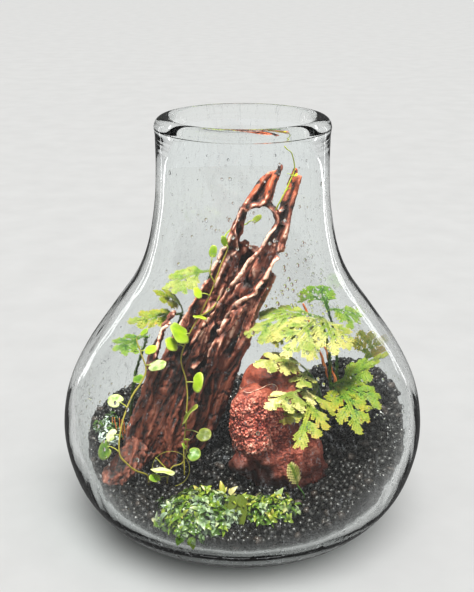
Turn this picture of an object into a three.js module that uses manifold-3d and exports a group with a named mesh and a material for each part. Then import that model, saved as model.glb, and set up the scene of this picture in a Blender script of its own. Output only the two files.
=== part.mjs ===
// Glass plant terrarium: a blown glass jar planted with driftwood, a rock, gravel,
// spikemoss, creeping vines and moss. Millimetres, +Z up, origin at the centre of the foot.
// The photographed side faces -Y.
import * as THREE from 'three';
import { mergeVertices } from 'three/addons/utils/BufferGeometryUtils.js';
import Module from 'manifold-3d';

const wasm = await Module();
wasm.setup();

// Driving dimensions of the jar
const bellyRadius = 115;
const jarHeight = 260;
const footRadius = 70;
const neckRadius = 52.2;
const lipThickness = 12.4;
const wallThickness = 5;
const lowWallExtra = 2.5;
const lowWallHeight = 90;
const floorThickness = 12;
const pontilRadius = 19;
const pontilDepth = 2;
const jarSides = 32;

// Clearance that separate pieces keep from each other
const gap = 0.3;

// Driving dimensions of the planting
const gravelFront = 35;
const gravelBackRise = 10;
const gravelRightBank = 34;
const gravelLeftBank = 10;
const grainRelief = 2.5;
const lumpSpacing = 11.5;
const bladeThickness = 0.8;
const strapHalfWidth = 2.9;
const firstStrap = 0.16;
const strapSpan = 0.62;
const strapShare = 0.46;
const leafThickness = 0.8;

const vector = (point) => new THREE.Vector3(point[0], point[1], point[2]);
const clamp = (value, low, high) => Math.min(Math.max(value, low), high);
const ease = (value) => {
  const t = clamp(value, 0, 1);
  return t * t * (3 - 2 * t);
};

// Repeatable number from 0 to 1 for a counter
function scatter(counter) {
  const value = Math.sin(counter * 12.9898 + 4.1414) * 43758.5453;
  return value - Math.floor(value);
}

// A closed geometry as a solid that can be joined and cut
function solid(geometry) {
  const bare = geometry.clone();
  bare.deleteAttribute('normal');
  bare.deleteAttribute('uv');
  const merged = mergeVertices(bare, 1e-4);
  return new wasm.Manifold(new wasm.Mesh({
    numProp: 3,
    vertProperties: new Float32Array(merged.attributes.position.array),
    triVerts: new Uint32Array(merged.index.array),
  }));
}

// A closed geometry as a solid, turned inside out first where its faces point inwards
function outward(geometry) {
  const body = solid(geometry);
  if (body.volume() > 0) {
    return body;
  }
  const turned = geometry.clone();
  const index = turned.index.array;
  for (let i = 0; i < index.length; i += 3) {
    const keep = index[i];
    index[i] = index[i + 1];
    index[i + 1] = keep;
  }
  return solid(turned);
}

// The largest piece of a solid: loose scraps that a cut leaves are dropped
function largest(body) {
  const pieces = body.decompose();
  pieces.sort((a, b) => b.volume() - a.volume());
  return pieces[0];
}

function joined(bodies) {
  return bodies.reduce((sum, body) => sum.add(body));
}

function meshOf(name, body, material) {
  const { vertProperties, triVerts } = largest(body).getMesh();
  const geometry = new THREE.BufferGeometry();
  geometry.setAttribute('position', new THREE.BufferAttribute(new Float32Array(vertProperties), 3));
  geometry.setIndex(new THREE.BufferAttribute(new Uint32Array(triVerts), 1));
  geometry.computeVertexNormals();
  const mesh = new THREE.Mesh(geometry, material);
  mesh.name = name;
  return mesh;
}

// A round bar of changing radius along a smooth curve through the given points
function bar(points, radii, { sides = 6, steps = 12, knots = 0, seed = 0 } = {}) {
  const curve = new THREE.CatmullRomCurve3(points.map(vector));
  const frames = curve.computeFrenetFrames(steps, false);
  const geometry = new THREE.CylinderGeometry(1, 1, 1, sides, steps);
  const position = geometry.attributes.position;
  for (let i = 0; i < position.count; i += 1) {
    const t = clamp(position.getY(i) + 0.5, 0, 1);
    const step = Math.round(t * steps);
    const centre = curve.getPointAt(t);
    const place = t * (radii.length - 1);
    const before = Math.min(Math.floor(place), radii.length - 2);
    const radius = THREE.MathUtils.lerp(radii[before], radii[before + 1], place - before);
    const around = Math.atan2(position.getZ(i), position.getX(i));
    const swell = 1 + knots * Math.sin(3 * around + 7 * t + seed) * Math.sin(9 * t + 2 * seed);
    centre.addScaledVector(frames.normals[step], position.getX(i) * radius * swell);
    centre.addScaledVector(frames.binormals[step], position.getZ(i) * radius * swell);
    position.setXYZ(i, centre.x, centre.y, centre.z);
  }
  return outward(geometry);
}

// Jar

// Outer profile from the foot to the neck, as radius and height
const outerKnots = [
  [footRadius, 0], [90, 8], [105.5, 26], [113.3, 48], [bellyRadius, 69], [110.5, 92], [99, 115],
  [82.5, 139], [67, 161], [58.5, 181], [53.6, 207], [neckRadius, 230], [neckRadius, 249],
].map(([radius, height]) => new THREE.Vector2(radius, height));

// Inner profile: each outer knot moved inwards by the wall thickness there
const innerKnots = outerKnots.slice(1).map((knot, i) => {
  const next = outerKnots[Math.min(i + 2, outerKnots.length - 1)];
  const along = next.clone().sub(outerKnots[i]).normalize();
  const wall = wallThickness + lowWallExtra * clamp(1 - knot.y / lowWallHeight, 0, 1);
  const inside = new THREE.Vector2(knot.x - along.y * wall, knot.y + along.x * wall);
  inside.y = Math.max(inside.y, floorThickness + 1);
  return inside;
});

const outerRows = outerKnots;
const innerRows = new THREE.SplineCurve(innerKnots).getPoints(9);

// Radius of the jar's inner wall at a height, on the same straight rows as the jar itself
function innerRadius(height) {
  const rows = innerRows;
  for (let i = 1; i < rows.length; i += 1) {
    if (height <= rows[i].y || i === rows.length - 1) {
      const t = clamp((height - rows[i - 1].y) / (rows[i].y - rows[i - 1].y), 0, 1);
      return THREE.MathUtils.lerp(rows[i - 1].x, rows[i].x, t);
    }
  }
  return rows[0].x;
}

function jarSolid() {
  const lipRadius = lipThickness / 2;
  const lipCentre = new THREE.Vector2(neckRadius + 0.6 - lipRadius, jarHeight - lipRadius);
  const lip = [];
  const lipSteps = 5;
  const lipArc = 225 * THREE.MathUtils.DEG2RAD;
  for (let i = 0; i <= lipSteps; i += 1) {
    const angle = (lipArc * i) / lipSteps;
    lip.push(new THREE.Vector2(Math.cos(angle), Math.sin(angle)).multiplyScalar(lipRadius).add(lipCentre));
  }
  const profile = [
    new THREE.Vector2(0, pontilDepth),
    new THREE.Vector2(pontilRadius * 0.7, pontilDepth),
    new THREE.Vector2(pontilRadius, 0),
    ...outerRows.slice(0, -1),
    ...lip,
    ...innerRows.slice(0, -1).reverse(),
    new THREE.Vector2(0, floorThickness),
  ];
  const geometry = new THREE.LatheGeometry(profile, jarSides);
  geometry.rotateX(Math.PI / 2);
  return outward(geometry);
}

// Gravel

// Height of the gravel's surface: low at the front, banked to the back, left and right
function gravelHeight(x, y) {
  const back = ease((y + 45) / 110);
  const right = ease((x - 28) / 68) * (0.62 + 0.38 * ease((y + 60) / 80));
  const left = ease((-x - 45) / 45) * ease((y + 50) / 60);
  return gravelFront + gravelBackRise * back + gravelRightBank * right + gravelLeftBank * left;
}

// Triangles between two rings of corners, each ring a start and a count, merged by their angles
function stitched(outer, inner) {
  const triangles = [];
  let i = 0;
  let j = 0;
  while (i < outer.count || j < inner.count) {
    const a = outer.start + (i % outer.count);
    const b = inner.start + (j % inner.count);
    if (j === inner.count || (i < outer.count && (i + 1) / outer.count <= (j + 1) / inner.count)) {
      i += 1;
      triangles.push(a, b, outer.start + (i % outer.count));
    } else {
      j += 1;
      triangles.push(a, b, inner.start + (j % inner.count));
    }
  }
  return triangles;
}

// The bed follows the jar's inner wall on the jar's own facets, with lumps of grains on its
// top and, pressed a little inwards, on its side
function gravelSolid() {
  const walls = 4;
  const positions = [];
  const index = [];
  const direction = (side) => {
    const angle = (2 * Math.PI * side) / jarSides;
    return [Math.sin(angle), Math.cos(angle)];
  };
  const wallPoint = (side, height, dent = 0) => {
    const [dx, dy] = direction(side);
    const radius = innerRadius(height) - gap * 1.5 - dent;
    return [dx * radius, dy * radius, height];
  };
  const floor = floorThickness + gap;
  const cornerHeight = innerRows[0].y + gap;
  const rimHeights = [];
  for (let side = 0; side < jarSides; side += 1) {
    let height = gravelFront;
    for (let pass = 0; pass < 6; pass += 1) {
      const [x, y] = wallPoint(side, height);
      height = gravelHeight(x, y);
    }
    rimHeights.push(height);
  }
  // Wall rows from the floor up to the rim of the bed
  for (let row = 0; row <= walls; row += 1) {
    for (let side = 0; side < jarSides; side += 1) {
      const height = THREE.MathUtils.lerp(cornerHeight, rimHeights[side], row / walls);
      const dent = row === 0 ? 0 : grainRelief * scatter(997 + row * jarSides + side);
      positions.push(...wallPoint(side, height, dent));
    }
  }
  const rings = [{ start: walls * jarSides, count: jarSides }];
  for (let row = 0; row < walls; row += 1) {
    index.push(...stitched(
      { start: row * jarSides, count: jarSides },
      { start: (row + 1) * jarSides, count: jarSides },
    ));
  }
  // Rings of lumps from the rim to the middle, about as far apart as the corners on each ring
  const steps = Math.round((bellyRadius - wallThickness) / lumpSpacing);
  for (let ring = 1; ring < steps; ring += 1) {
    const share = 1 - ring / steps;
    const count = Math.round((2 * Math.PI * (bellyRadius - wallThickness) * share) / lumpSpacing);
    rings.push({ start: positions.length / 3, count });
    for (let corner = 0; corner < count; corner += 1) {
      const place = (corner * jarSides) / count;
      const side = Math.floor(place);
      const next = (side + 1) % jarSides;
      const [rimX, rimY] = wallPoint(side, rimHeights[side]);
      const [nextX, nextY] = wallPoint(next, rimHeights[next]);
      const x = THREE.MathUtils.lerp(rimX, nextX, place - side) * share;
      const y = THREE.MathUtils.lerp(rimY, nextY, place - side) * share;
      const grain = grainRelief * (2 * scatter(ring * 131 + corner) - 1);
      positions.push(x, y, gravelHeight(x, y) + grain);
    }
    index.push(...stitched(rings[ring - 1], rings[ring]));
  }
  const last = rings[rings.length - 1];
  const middleTop = positions.length / 3;
  positions.push(0, 0, gravelHeight(0, 0));
  const middleFloor = positions.length / 3;
  positions.push(0, 0, floor);
  for (let corner = 0; corner < last.count; corner += 1) {
    index.push(last.start + corner, middleTop, last.start + ((corner + 1) % last.count));
  }
  for (let side = 0; side < jarSides; side += 1) {
    index.push(middleFloor, side, (side + 1) % jarSides);
  }
  const geometry = new THREE.BufferGeometry();
  geometry.setAttribute('position', new THREE.Float32BufferAttribute(positions, 3));
  geometry.setIndex(index);
  return outward(geometry);
}

// Driftwood

// Each strand of the wood: points from the foot upwards, as x, y, z and radius
const strands = [
  { name: 'left core', sides: 7, steps: 9, knots: 0.1, points: [
    [-68, -8, 24, 12], [-58, -4, 54, 15], [-42, 3, 92, 14], [-24, 6, 132, 12], [-12, 5, 163, 8],
    [-4, 6, 185, 5], [1, 4, 203, 3.2]] },
  { name: 'right core', sides: 7, steps: 9, knots: 0.1, points: [
    [-46, -5, 24, 13], [-32, 1, 68, 14], [-17, 5, 99, 12.5], [-4, 6, 132, 11], [7, 6, 158, 8],
    [17, 5, 179, 5.5], [24, 4, 194, 4]] },
  { name: 'back core', sides: 7, steps: 8, knots: 0.1, points: [
    [-59, 20, 24, 13], [-38, 22, 71, 14], [-15, 20, 123, 11], [2, 16, 158, 8], [9, 12, 174, 5.5]] },
  { name: 'web below the hole', sides: 6, steps: 6, knots: 0.1, points: [
    [-14, 9, 140, 8], [-9, 10, 155, 8], [-4, 10, 167, 6.5], [0, 9, 176, 4.5], [3, 8, 181, 2.5]] },
  { name: 'left edge', sides: 6, steps: 11, knots: 0.2, points: [
    [-77, -13, 24, 6], [-69, -11, 62, 6], [-50, -7, 101, 5.5], [-33, -3, 135, 4.5], [-19, -1, 159, 3.5],
    [-10, 0, 177, 3], [-4, 0, 193, 2.6], [2, 2, 206, 2.4]] },
  { name: 'middle ridge', sides: 6, steps: 9, knots: 0.2, points: [
    [-49, -21, 36, 6], [-44, -17, 66, 5], [-34, -12, 100, 4.5], [-19, -8, 133, 3.8],
    [-7, -6, 156, 3.5], [6, -3, 171, 3], [17, 0, 185, 2.6], [21, 2, 194, 2.4]] },
  { name: 'right ridge', sides: 6, steps: 10, knots: 0.2, points: [
    [-38, -15, 48, 6], [-25, -10, 96, 5.5], [-13, -8, 123, 4.5], [2, -4, 145, 4], [12, -1, 159, 3.5],
    [21, 2, 172, 3.2], [27, 4, 187, 2.8], [30, 6, 204, 2.6], [32, 9, 219, 1.8]] },
  { name: 'right edge', sides: 6, steps: 9, knots: 0.15, points: [
    [-31, -3, 43, 8], [-14, 0, 79, 7], [-3, 0, 110, 6], [7, 0, 139, 5.5], [17, 2, 162, 4.5]] },
  { name: 'arch over the hole', sides: 6, steps: 6, knots: 0.1, points: [
    [2, 2, 204, 2.4], [8, 2, 206, 2.4], [14, 3, 207, 2.4], [19, 3, 203, 2.6], [22, 3, 193, 2.8]] },
  { name: 'middle prong', sides: 6, steps: 5, knots: 0.2, points: [
    [14, 3, 205, 2.8], [16, 5, 214, 2.8], [18, 7, 221, 2.2], [20, 9, 229, 1.3]] },
  { name: 'left side of the pocket', sides: 6, steps: 5, knots: 0.1, points: [
    [2, 2, 205, 2.2], [6, 4, 213, 2], [11, 6, 219.5, 2], [17, 7, 222, 1.6]] },
  { name: 'back of the pocket', sides: 6, steps: 3, knots: 0.1, points: [
    [8, 5, 204, 3], [12, 6.5, 212, 3.2], [15, 7.5, 219, 2.4]] },
  { name: 'right prong', sides: 6, steps: 6, knots: 0.2, points: [
    [22, 4, 193, 3], [26, 7, 205, 2.8], [28, 9, 214, 2.2], [29, 11, 225, 1.3]] },
  { name: 'side branch', sides: 6, steps: 7, knots: 0.2, points: [
    [-64, -15, 48, 5], [-60, -12, 78, 5], [-58, -8, 100, 4.5], [-54, -4, 115, 4], [-49, 2, 126, 3.2],
    [-44, 8, 133, 2.2]] },
  { name: 'broken foot', sides: 7, steps: 4, knots: 0.15, points: [
    [-85, -42, 32, 7], [-78, -35, 40, 10], [-66, -18, 48, 11]] },
];

// Points of a line with its two ends moved outwards by the given length
function lengthened(points, growth) {
  const ends = [[0, 1], [points.length - 1, points.length - 2]];
  const moved = points.map((point) => point.slice(0, 3));
  ends.forEach(([end, before]) => {
    const outwards = vector(points[end]).sub(vector(points[before])).normalize();
    moved[end] = vector(points[end]).addScaledVector(outwards, growth).toArray();
  });
  return moved;
}

function driftwood(growth) {
  return joined(strands.map(({ points, sides, steps, knots }, number) => bar(
    lengthened(points, growth),
    points.map((point) => point[3] + growth),
    { sides, steps, knots, seed: number },
  )));
}

// Rock

// Lumps of the rock: centre, half sizes, lean to the back in degrees and fineness
const rockLumps = [
  { centre: [20, -20, 62], half: [27, 25, 50], lean: 18, detail: 3, seed: 1 },
  { centre: [8, -33, 75], half: [18, 16, 27], lean: 16, detail: 2, seed: 5 },
  { centre: [36, -35, 45], half: [19, 18, 25], lean: 0, detail: 2, seed: 3 },
  { centre: [0, -41, 51], half: [8, 9, 10], lean: 0, detail: 1, seed: 4 },
];
const rockFaces = 14;

// Share of the half size at which a broken flat face of the rock cuts off a direction
function rockReach(direction, seed) {
  let reach = 1;
  for (let i = 0; i < rockFaces; i += 1) {
    const height = 1 - (2 * i + 1) / rockFaces;
    const around = 2.399963 * i + 6 * scatter(seed * 31 + i);
    const level = Math.sqrt(1 - height * height);
    const facing = direction.x * level * Math.cos(around)
      + direction.y * level * Math.sin(around) + direction.z * height;
    const distance = 0.8 + 0.14 * scatter(seed * 17 + i);
    if (facing > 0.2) {
      reach = Math.min(reach, distance / facing);
    }
  }
  return reach;
}

function rock(growth) {
  return joined(rockLumps.map(({ centre, half, lean, detail, seed }) => {
    const geometry = new THREE.IcosahedronGeometry(1, detail);
    const position = geometry.attributes.position;
    const point = new THREE.Vector3();
    for (let i = 0; i < position.count; i += 1) {
      point.fromBufferAttribute(position, i);
      const reach = rockReach(point, seed);
      point.set(
        point.x * (half[0] * reach + growth),
        point.y * (half[1] * reach + growth),
        point.z * (half[2] * reach + growth),
      );
      position.setXYZ(i, point.x, point.y, point.z);
    }
    geometry.rotateX(-lean * THREE.MathUtils.DEG2RAD);
    geometry.translate(...centre);
    return solid(geometry);
  }));
}

// Spikemoss

// Outline of one strap-like branchlet, as share of its length and of its half width:
// toothed edges and a blunt lobed tip, from the lower edge round the tip to the upper edge
const strapOutline = [
  [0.5, -1], [0.62, -0.7], [0.92, -1], [1.04, 0], [0.92, 1], [0.62, 0.7], [0.5, 1],
];
// The same with plainer edges, for the shaded fronds at the back
const plainOutline = [[0.55, -0.8], [0.9, -1], [1.04, 0], [0.9, 1], [0.55, 0.8]];
// The same for the small fans of the moss cushions
const smallOutline = [[0.7, -1], [1.04, 0], [0.7, 1]];

// Flat fan as points and triangles: a rib up the middle, with straps to both sides and one at the
// end. Straps on the same side start one spacing apart, and are narrow enough to stay clear of each
// other. Its triangles are short along the rib, so that the fan arches without a fold.
function flatFan({ length, reach, pairs, half: widest, outline }) {
  const lean = 50 * THREE.MathUtils.DEG2RAD;
  const spacing = (strapSpan * length) / pairs;
  const half = Math.min(widest, strapShare * spacing * Math.sin(lean));
  const rib = half * 0.4;
  const points = [[rib, 0], [-rib, 0]];
  const triangles = [];
  const add = (x, y) => points.push([x, y]) - 1;

  // A lobe between two root points, with its rim from its lower edge round the tip to the upper edge
  function lobe(side, lowerRoot, upperRoot, rim) {
    const middle = (rim.length - 1) / 2;
    const face = (a, b, c) => triangles.push(side > 0 ? [a, b, c] : [a, c, b]);
    let lower = lowerRoot;
    let upper = upperRoot;
    for (let i = 0; i < middle; i += 1) {
      const nextUpper = rim[rim.length - 1 - i];
      face(lower, rim[i], nextUpper);
      face(lower, nextUpper, upper);
      lower = rim[i];
      upper = nextUpper;
    }
    face(lower, rim[middle], upper);
  }

  const right = [0];
  const left = [1];
  for (let number = 0; number < 2 * pairs; number += 1) {
    const side = number % 2 ? -1 : 1;
    const share = (number + 0.5) / (2 * pairs);
    const start = length * (firstStrap + strapSpan * share);
    const strapLength = reach * (0.72 + 0.5 * Math.sin(Math.PI * (0.15 + 0.8 * share)));
    const lowerRoot = add(side * rib, start - half * 0.5);
    const upperRoot = add(side * rib, start + half * 1.1);
    const rim = outline.map(([along, across]) => add(
      side * (rib + along * strapLength * Math.sin(lean) - across * half * Math.cos(lean)),
      start + along * strapLength * Math.cos(lean) + across * half * Math.sin(lean),
    ));
    lobe(side, lowerRoot, upperRoot, rim);
    (side > 0 ? right : left).push(lowerRoot, upperRoot);
  }

  // The rib between the roots on its two edges
  let i = 0;
  let j = 0;
  while (i < right.length - 1 || j < left.length - 1) {
    const rightNext = points[right[i + 1]]?.[1] ?? Infinity;
    const leftNext = points[left[j + 1]]?.[1] ?? Infinity;
    if (rightNext < leftNext) {
      triangles.push([right[i], right[i + 1], left[j]]);
      i += 1;
    } else {
      triangles.push([right[i], left[j + 1], left[j]]);
      j += 1;
    }
  }
  const endStart = length * 0.8;
  const end = outline.map(([along, across]) => add(-across * half, endStart + along * (length - endStart)));
  lobe(1, right[i], left[j], end);
  return { points, triangles };
}

// A fan arched from its base to its tip, with its sides hanging
function fan({
  base, tip, reach = 10, pairs = 3, half = strapHalfWidth, rise = 0.16, turn = 0, outline = strapOutline,
}) {
  const start = vector(base);
  const end = vector(tip);
  const length = start.distanceTo(end);
  const forward = end.clone().sub(start).normalize();
  const up = new THREE.Vector3(0, -0.35, 1).normalize();
  up.addScaledVector(forward, -up.dot(forward)).normalize();
  up.applyAxisAngle(forward, turn * THREE.MathUtils.DEG2RAD);
  const middle = start.clone().lerp(end, 0.5).addScaledVector(up, 2 * rise * length);
  const curve = new THREE.QuadraticBezierCurve3(start, middle, end);

  function placed([x, y], lift) {
    const t = y / length;
    const held = clamp(t, 0, 1);
    const along = curve.getTangentAt(held);
    const side = along.clone().cross(up).normalize();
    const normal = side.clone().cross(along).normalize();
    return curve.getPointAt(held)
      .addScaledVector(along, (t - held) * length)
      .addScaledVector(side, x)
      .addScaledVector(normal, lift - 0.02 * x * x)
      .toArray();
  }

  const { points, triangles } = flatFan({ length, reach, pairs, half, outline });
  const positions = [bladeThickness / 2, -bladeThickness / 2].flatMap(
    (lift) => points.flatMap((point) => placed(point, lift)));
  const under = points.length;
  const index = triangles.flatMap(([a, b, c]) => [a, b, c, c + under, b + under, a + under]);
  // A wall closes each edge that only one triangle has
  const edges = triangles.flatMap(([a, b, c]) => [[a, b], [b, c], [c, a]]);
  const known = new Set(edges.map(([p, q]) => `${p} ${q}`));
  edges.filter(([p, q]) => !known.has(`${q} ${p}`)).forEach(([p, q]) => {
    index.push(q, p, p + under, q, p + under, q + under);
  });
  const geometry = new THREE.BufferGeometry();
  geometry.setAttribute('position', new THREE.Float32BufferAttribute(positions, 3));
  geometry.setIndex(index);
  return outward(geometry);
}

// Spikemoss stems: root on the gravel, further points of the stem, its radius, and its fans.
// A fan starts at its base, which lies on the stem or a side stem.
const spikemoss = [
  { name: 'spikemoss_over_rock', root: [60, 14], stem: [[57, 12, 100], [51, 8, 128]], radius: 1.3,
    fans: [
      { base: [51, 8, 128], tip: [5, -6, 124], reach: 13, half: 3.6 },
      { base: [51, 8, 128], tip: [27, -27, 119], reach: 13, half: 3.5, turn: -8 },
      { base: [51, 8, 128], tip: [56, -25, 119], reach: 11, half: 3.3, outline: plainOutline },
    ] },
  { name: 'spikemoss_hub', root: [52, 0], stem: [[51, -3, 70], [48, -7, 88], [41, -9, 98]], radius: 1.4,
    fans: [
      { base: [41, -9, 98], tip: [10, -28, 111], reach: 8, half: 2.6, outline: plainOutline },
      { base: [41, -9, 98], tip: [35, -33, 99], reach: 6, pairs: 2, half: 2.4, rise: 0.05,
        outline: plainOutline },
      { base: [48, -7, 88], tip: [16, -48, 93], reach: 11, half: 3.5, rise: 0.05, turn: 4 },
      { base: [48, -7, 88], tip: [34, -60, 75], reach: 11, half: 3.5, rise: 0.1 },
    ] },
  { name: 'spikemoss_right', root: [66, 4], stem: [[65, 2, 74], [59, -5, 87]], radius: 1.3,
    fans: [
      { base: [59, -5, 87], tip: [82, -4, 101], reach: 8, rise: 0.02, outline: plainOutline },
      { base: [59, -5, 87], tip: [83, -28, 84], reach: 7, outline: plainOutline },
      { base: [59, -5, 87], tip: [70, -45, 76], reach: 9, half: 3.2 },
    ] },
  { name: 'spikemoss_sprig', root: [84, 10], stem: [[83, 8, 84], [80, 5, 98]], radius: 1.1,
    fans: [
      { base: [80, 5, 98], tip: [83, 4, 119], reach: 8, pairs: 2, rise: 0.02, turn: 30 },
      { base: [80, 5, 98], tip: [91, -4, 107], reach: 4, pairs: 2, half: 2.2, rise: 0.02,
        outline: plainOutline },
    ] },
  { name: 'spikemoss_back', root: [66, 36], stem: [[64, 34, 100], [58, 28, 127]], radius: 1.2,
    fans: [
      { base: [58, 28, 127], tip: [77, 19, 123], reach: 8, pairs: 2, half: 2.6, outline: plainOutline },
      { base: [58, 28, 127], tip: [48, 44, 137], reach: 10, pairs: 2, outline: plainOutline },
    ] },
  { name: 'spikemoss_left', root: [-48, 46], stem: [[-34, 38, 110], [-20, 22, 156]], radius: 1.3,
    fans: [
      { base: [-20, 22, 156], tip: [-48, 12, 149], reach: 9, rise: 0.1 },
    ] },
  { name: 'spikemoss_back_left', root: [-60, 38], stem: [[-52, 34, 90], [-40, 26, 124]], radius: 1.2,
    fans: [
      { base: [-40, 26, 124], tip: [-55, 16, 143], reach: 7, pairs: 2, outline: plainOutline },
      { base: [-40, 26, 124], tip: [-72, 18, 123], reach: 7, rise: 0.06, outline: plainOutline },
    ] },
  { name: 'spikemoss_far_left', root: [-76, 22], stem: [[-70, 18, 90], [-62, 10, 115]], radius: 1.1,
    fans: [
      { base: [-62, 10, 115], tip: [-80, -4, 112], reach: 7, pairs: 2, rise: 0.06,
        outline: plainOutline },
    ] },
  { name: 'fern_leaflet', root: [37, -62], stem: [[36, -62, 42], [33, -61, 46]], radius: 0.7,
    fans: [
      { base: [33, -61, 46], tip: [28, -60, 60], reach: 4, half: 1, turn: 70, outline: smallOutline },
    ] },
];

const stemDepth = 8;

function rooted([x, y], depth) {
  return [x, y, gravelHeight(x, y) - depth];
}

// A stem from its root in the gravel, with its first stretch upright
function stalk({ root, radius, stem }, growth) {
  const [x, y, ground] = rooted(root, 0);
  const points = [[x, y, ground - stemDepth - growth], [x, y, ground + 4], ...stem];
  const radii = [radius * 1.1 + growth, radius + growth, radius * 0.9 + growth];
  return bar(points, radii, { sides: 5, steps: Math.round(1.6 * points.length) });
}

function spikemossSolid(plant) {
  return joined([stalk(plant, 0), ...plant.fans.map((each) => fan(each))]);
}

// Creeping vines

// Direction that most leaves face, how far they stand off their stem, and their stalks' half width
const leafFace = [0, -0.6, 0.8];
const leafStandOff = 4;
const petiole = 0.6;

// A round cupped leaf on its own short stalk, which starts inside the stem
function leaf({ from, at, size, wide = 1, face = leafFace }) {
  const along = vector(at).sub(from);
  const reach = along.length();
  along.normalize();
  const normal = vector(face);
  normal.addScaledVector(along, -normal.dot(along)).normalize();
  const across = along.clone().cross(normal);
  const sides = 7;
  const outline = [new THREE.Vector2(-petiole, -reach), new THREE.Vector2(petiole, -reach)];
  for (let i = 0; i < sides; i += 1) {
    const angle = (2 * Math.PI * (i + 0.5)) / sides - Math.PI / 2;
    const notch = i === 0 || i === sides - 1 ? 0.75 : 1;
    outline.push(new THREE.Vector2(Math.cos(angle) * wide * size * notch, Math.sin(angle) * size));
  }
  const shape = new THREE.Shape(outline);
  const geometry = new THREE.ExtrudeGeometry(shape, { depth: leafThickness, bevelEnabled: false });
  const position = geometry.attributes.position;
  for (let i = 0; i < position.count; i += 1) {
    const x = position.getX(i);
    const y = position.getY(i);
    const dip = y > -size ? (0.14 * (x * x + 0.4 * y * y)) / size : 0;
    const point = vector(at)
      .addScaledVector(across, x)
      .addScaledVector(along, y)
      .addScaledVector(normal, position.getZ(i) - leafThickness / 2 - dip);
    position.setXYZ(i, point.x, point.y, point.z);
  }
  return outward(geometry);
}

const vines = [
  { name: 'vine_over_wood', radius: 0.8, root: [-37, -34],
    stem: [[-37, -29, 56], [-35, -25, 74], [-35, -20, 96], [-38, -18, 112], [-33, -15, 126],
      [-25, -13, 141], [-19, -11, 154], [-13, -8, 170], [-9, -6, 180]],
    sideStems: [
      [[-27, -14, 137], [-18, -15, 144], [-14, -13, 151]],
      [[-17, -11, 159], [-20, -12, 166], [-19, -11, 172]],
    ],
    leaves: [
      { at: [-18, -10, 179], size: 4.2, wide: 0.6 },
      { at: [-11, -8, 185], size: 4.2, wide: 0.56 },
      { at: [-27, -15, 154], size: 3.5, wide: 1.2 },
      { at: [-26, -17, 138], size: 4.4 },
      { at: [-38, -19, 129], size: 7.4, wide: 1.05 },
      { at: [-43, -20, 122], size: 5 },
      { at: [-28, -24, 98], size: 4.4, wide: 1.5, face: [0.45, -0.75, 0.45] },
      { at: [-34, -30, 79], size: 5.4, wide: 1.5, face: [-0.2, -0.85, 0.5] },
      { at: [-24, -32, 66], size: 4.8 },
    ] },
  { name: 'vine_left', radius: 0.9, root: [-59, -40],
    stem: [[-66, -46, 47], [-75, -47, 59], [-74, -38, 75], [-69, -28, 88],
      [-60, -19, 104], [-63, -16, 114], [-66, -13, 123]],
    sideStems: [
      [[-75, -46, 60], [-81, -42, 62]],
      [[-71, -31, 84], [-74, -28, 85]],
    ],
    leaves: [
      { at: [-61, -13, 127], size: 3.4, wide: 0.6 },
      { at: [-57, -17, 117], size: 4.2, wide: 0.75 },
      { at: [-53, -21, 108], size: 6.8, wide: 0.6 },
      { at: [-65, -19, 98], size: 4.2, wide: 0.8 },
      { at: [-79, -25, 86], size: 5.6, wide: 0.85 },
      { at: [-86, -38, 57], size: 8.6, wide: 0.7, face: [-0.3, -0.7, 0.6] },
      { at: [-81, -38, 68], size: 3.6, wide: 1.3 },
    ] },
  { name: 'runner_front', radius: 0.8, root: [-47, -42],
    stem: [[-44, -40, 46], [-38, -40, 49], [-35, -39, 56], [-34, -39, 65]],
    sideStems: [
      [[-46, -41, 43], [-54, -38, 52]],
    ],
    leaves: [
      { at: [-49, -45, 47], size: 5, wide: 1.5, face: [0.1, -0.4, 0.9] },
      { at: [-54, -46, 42], size: 4, wide: 0.7 },
      { at: [-36, -40, 61], size: 2.2 },
      { at: [-34, -40, 65], size: 2 },
      { at: [-30, -40, 56], size: 4, wide: 1.2 },
    ] },
];

// Tendril out of the fork of the wood's prongs, curling towards the mouth of the jar
const tendrilPoints = [
  [20, 4, 197], [21, 1, 204], [24, 0, 212], [28, 3, 221],
  [31, 5, 229], [31, 4, 237], [29, 2, 244], [25, 1, 249],
];
const tendrilRadius = 0.65;

// Dry stalks behind the hub
const dryStalks = [
  { name: 'dry_stalk_1', root: [63, 25], stem: [[59, 23, 79], [40, 22, 133]], radius: 0.8 },
  { name: 'dry_stalk_2', root: [68, 20], stem: [[63, 19, 80], [49, 18, 118]], radius: 0.8 },
];

function vineSolid(vine) {
  const { radius, root, stem, sideStems, leaves } = vine;
  const parts = [stalk(vine, 0)];
  sideStems.forEach((points) => {
    parts.push(bar(points, [radius * 0.8, radius * 0.7], { sides: 5, steps: 3 }));
  });
  const lines = [[rooted(root, 0), ...stem], ...sideStems];
  const joints = lines.flatMap((points) => new THREE.CatmullRomCurve3(points.map(vector)).getPoints(40));
  leaves.forEach((each) => {
    const centre = vector(each.at);
    const near = joints.reduce((best, point) => (
      point.distanceTo(centre) < best.distanceTo(centre) ? point : best));
    const short = Math.max(0, leafStandOff - near.distanceTo(centre));
    centre.addScaledVector(vector(each.face ?? leafFace).normalize(), short);
    parts.push(leaf({ ...each, from: near, at: centre.toArray() }));
  });
  return joined(parts);
}

// Moss cushions: small fans round a low core that is bedded in the gravel
const cushions = [
  { name: 'moss_cushion_left', centre: [-25, -73], across: 25, deep: 19, count: 8, seed: 11 },
  { name: 'moss_cushion_right', centre: [15, -76], across: 14, deep: 11, count: 4, seed: 47 },
  { name: 'moss_far_left', centre: [-88, 2], across: 7, deep: 12, count: 3, seed: 83 },
];

function cushionCore({ centre: [x, y], across, deep }, growth) {
  const core = new THREE.IcosahedronGeometry(1, 1);
  core.scale(across * 0.45 + growth, deep * 0.45 + growth, 5 + growth);
  core.translate(x, y, gravelHeight(x, y) + 1.5);
  return solid(core);
}

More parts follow.
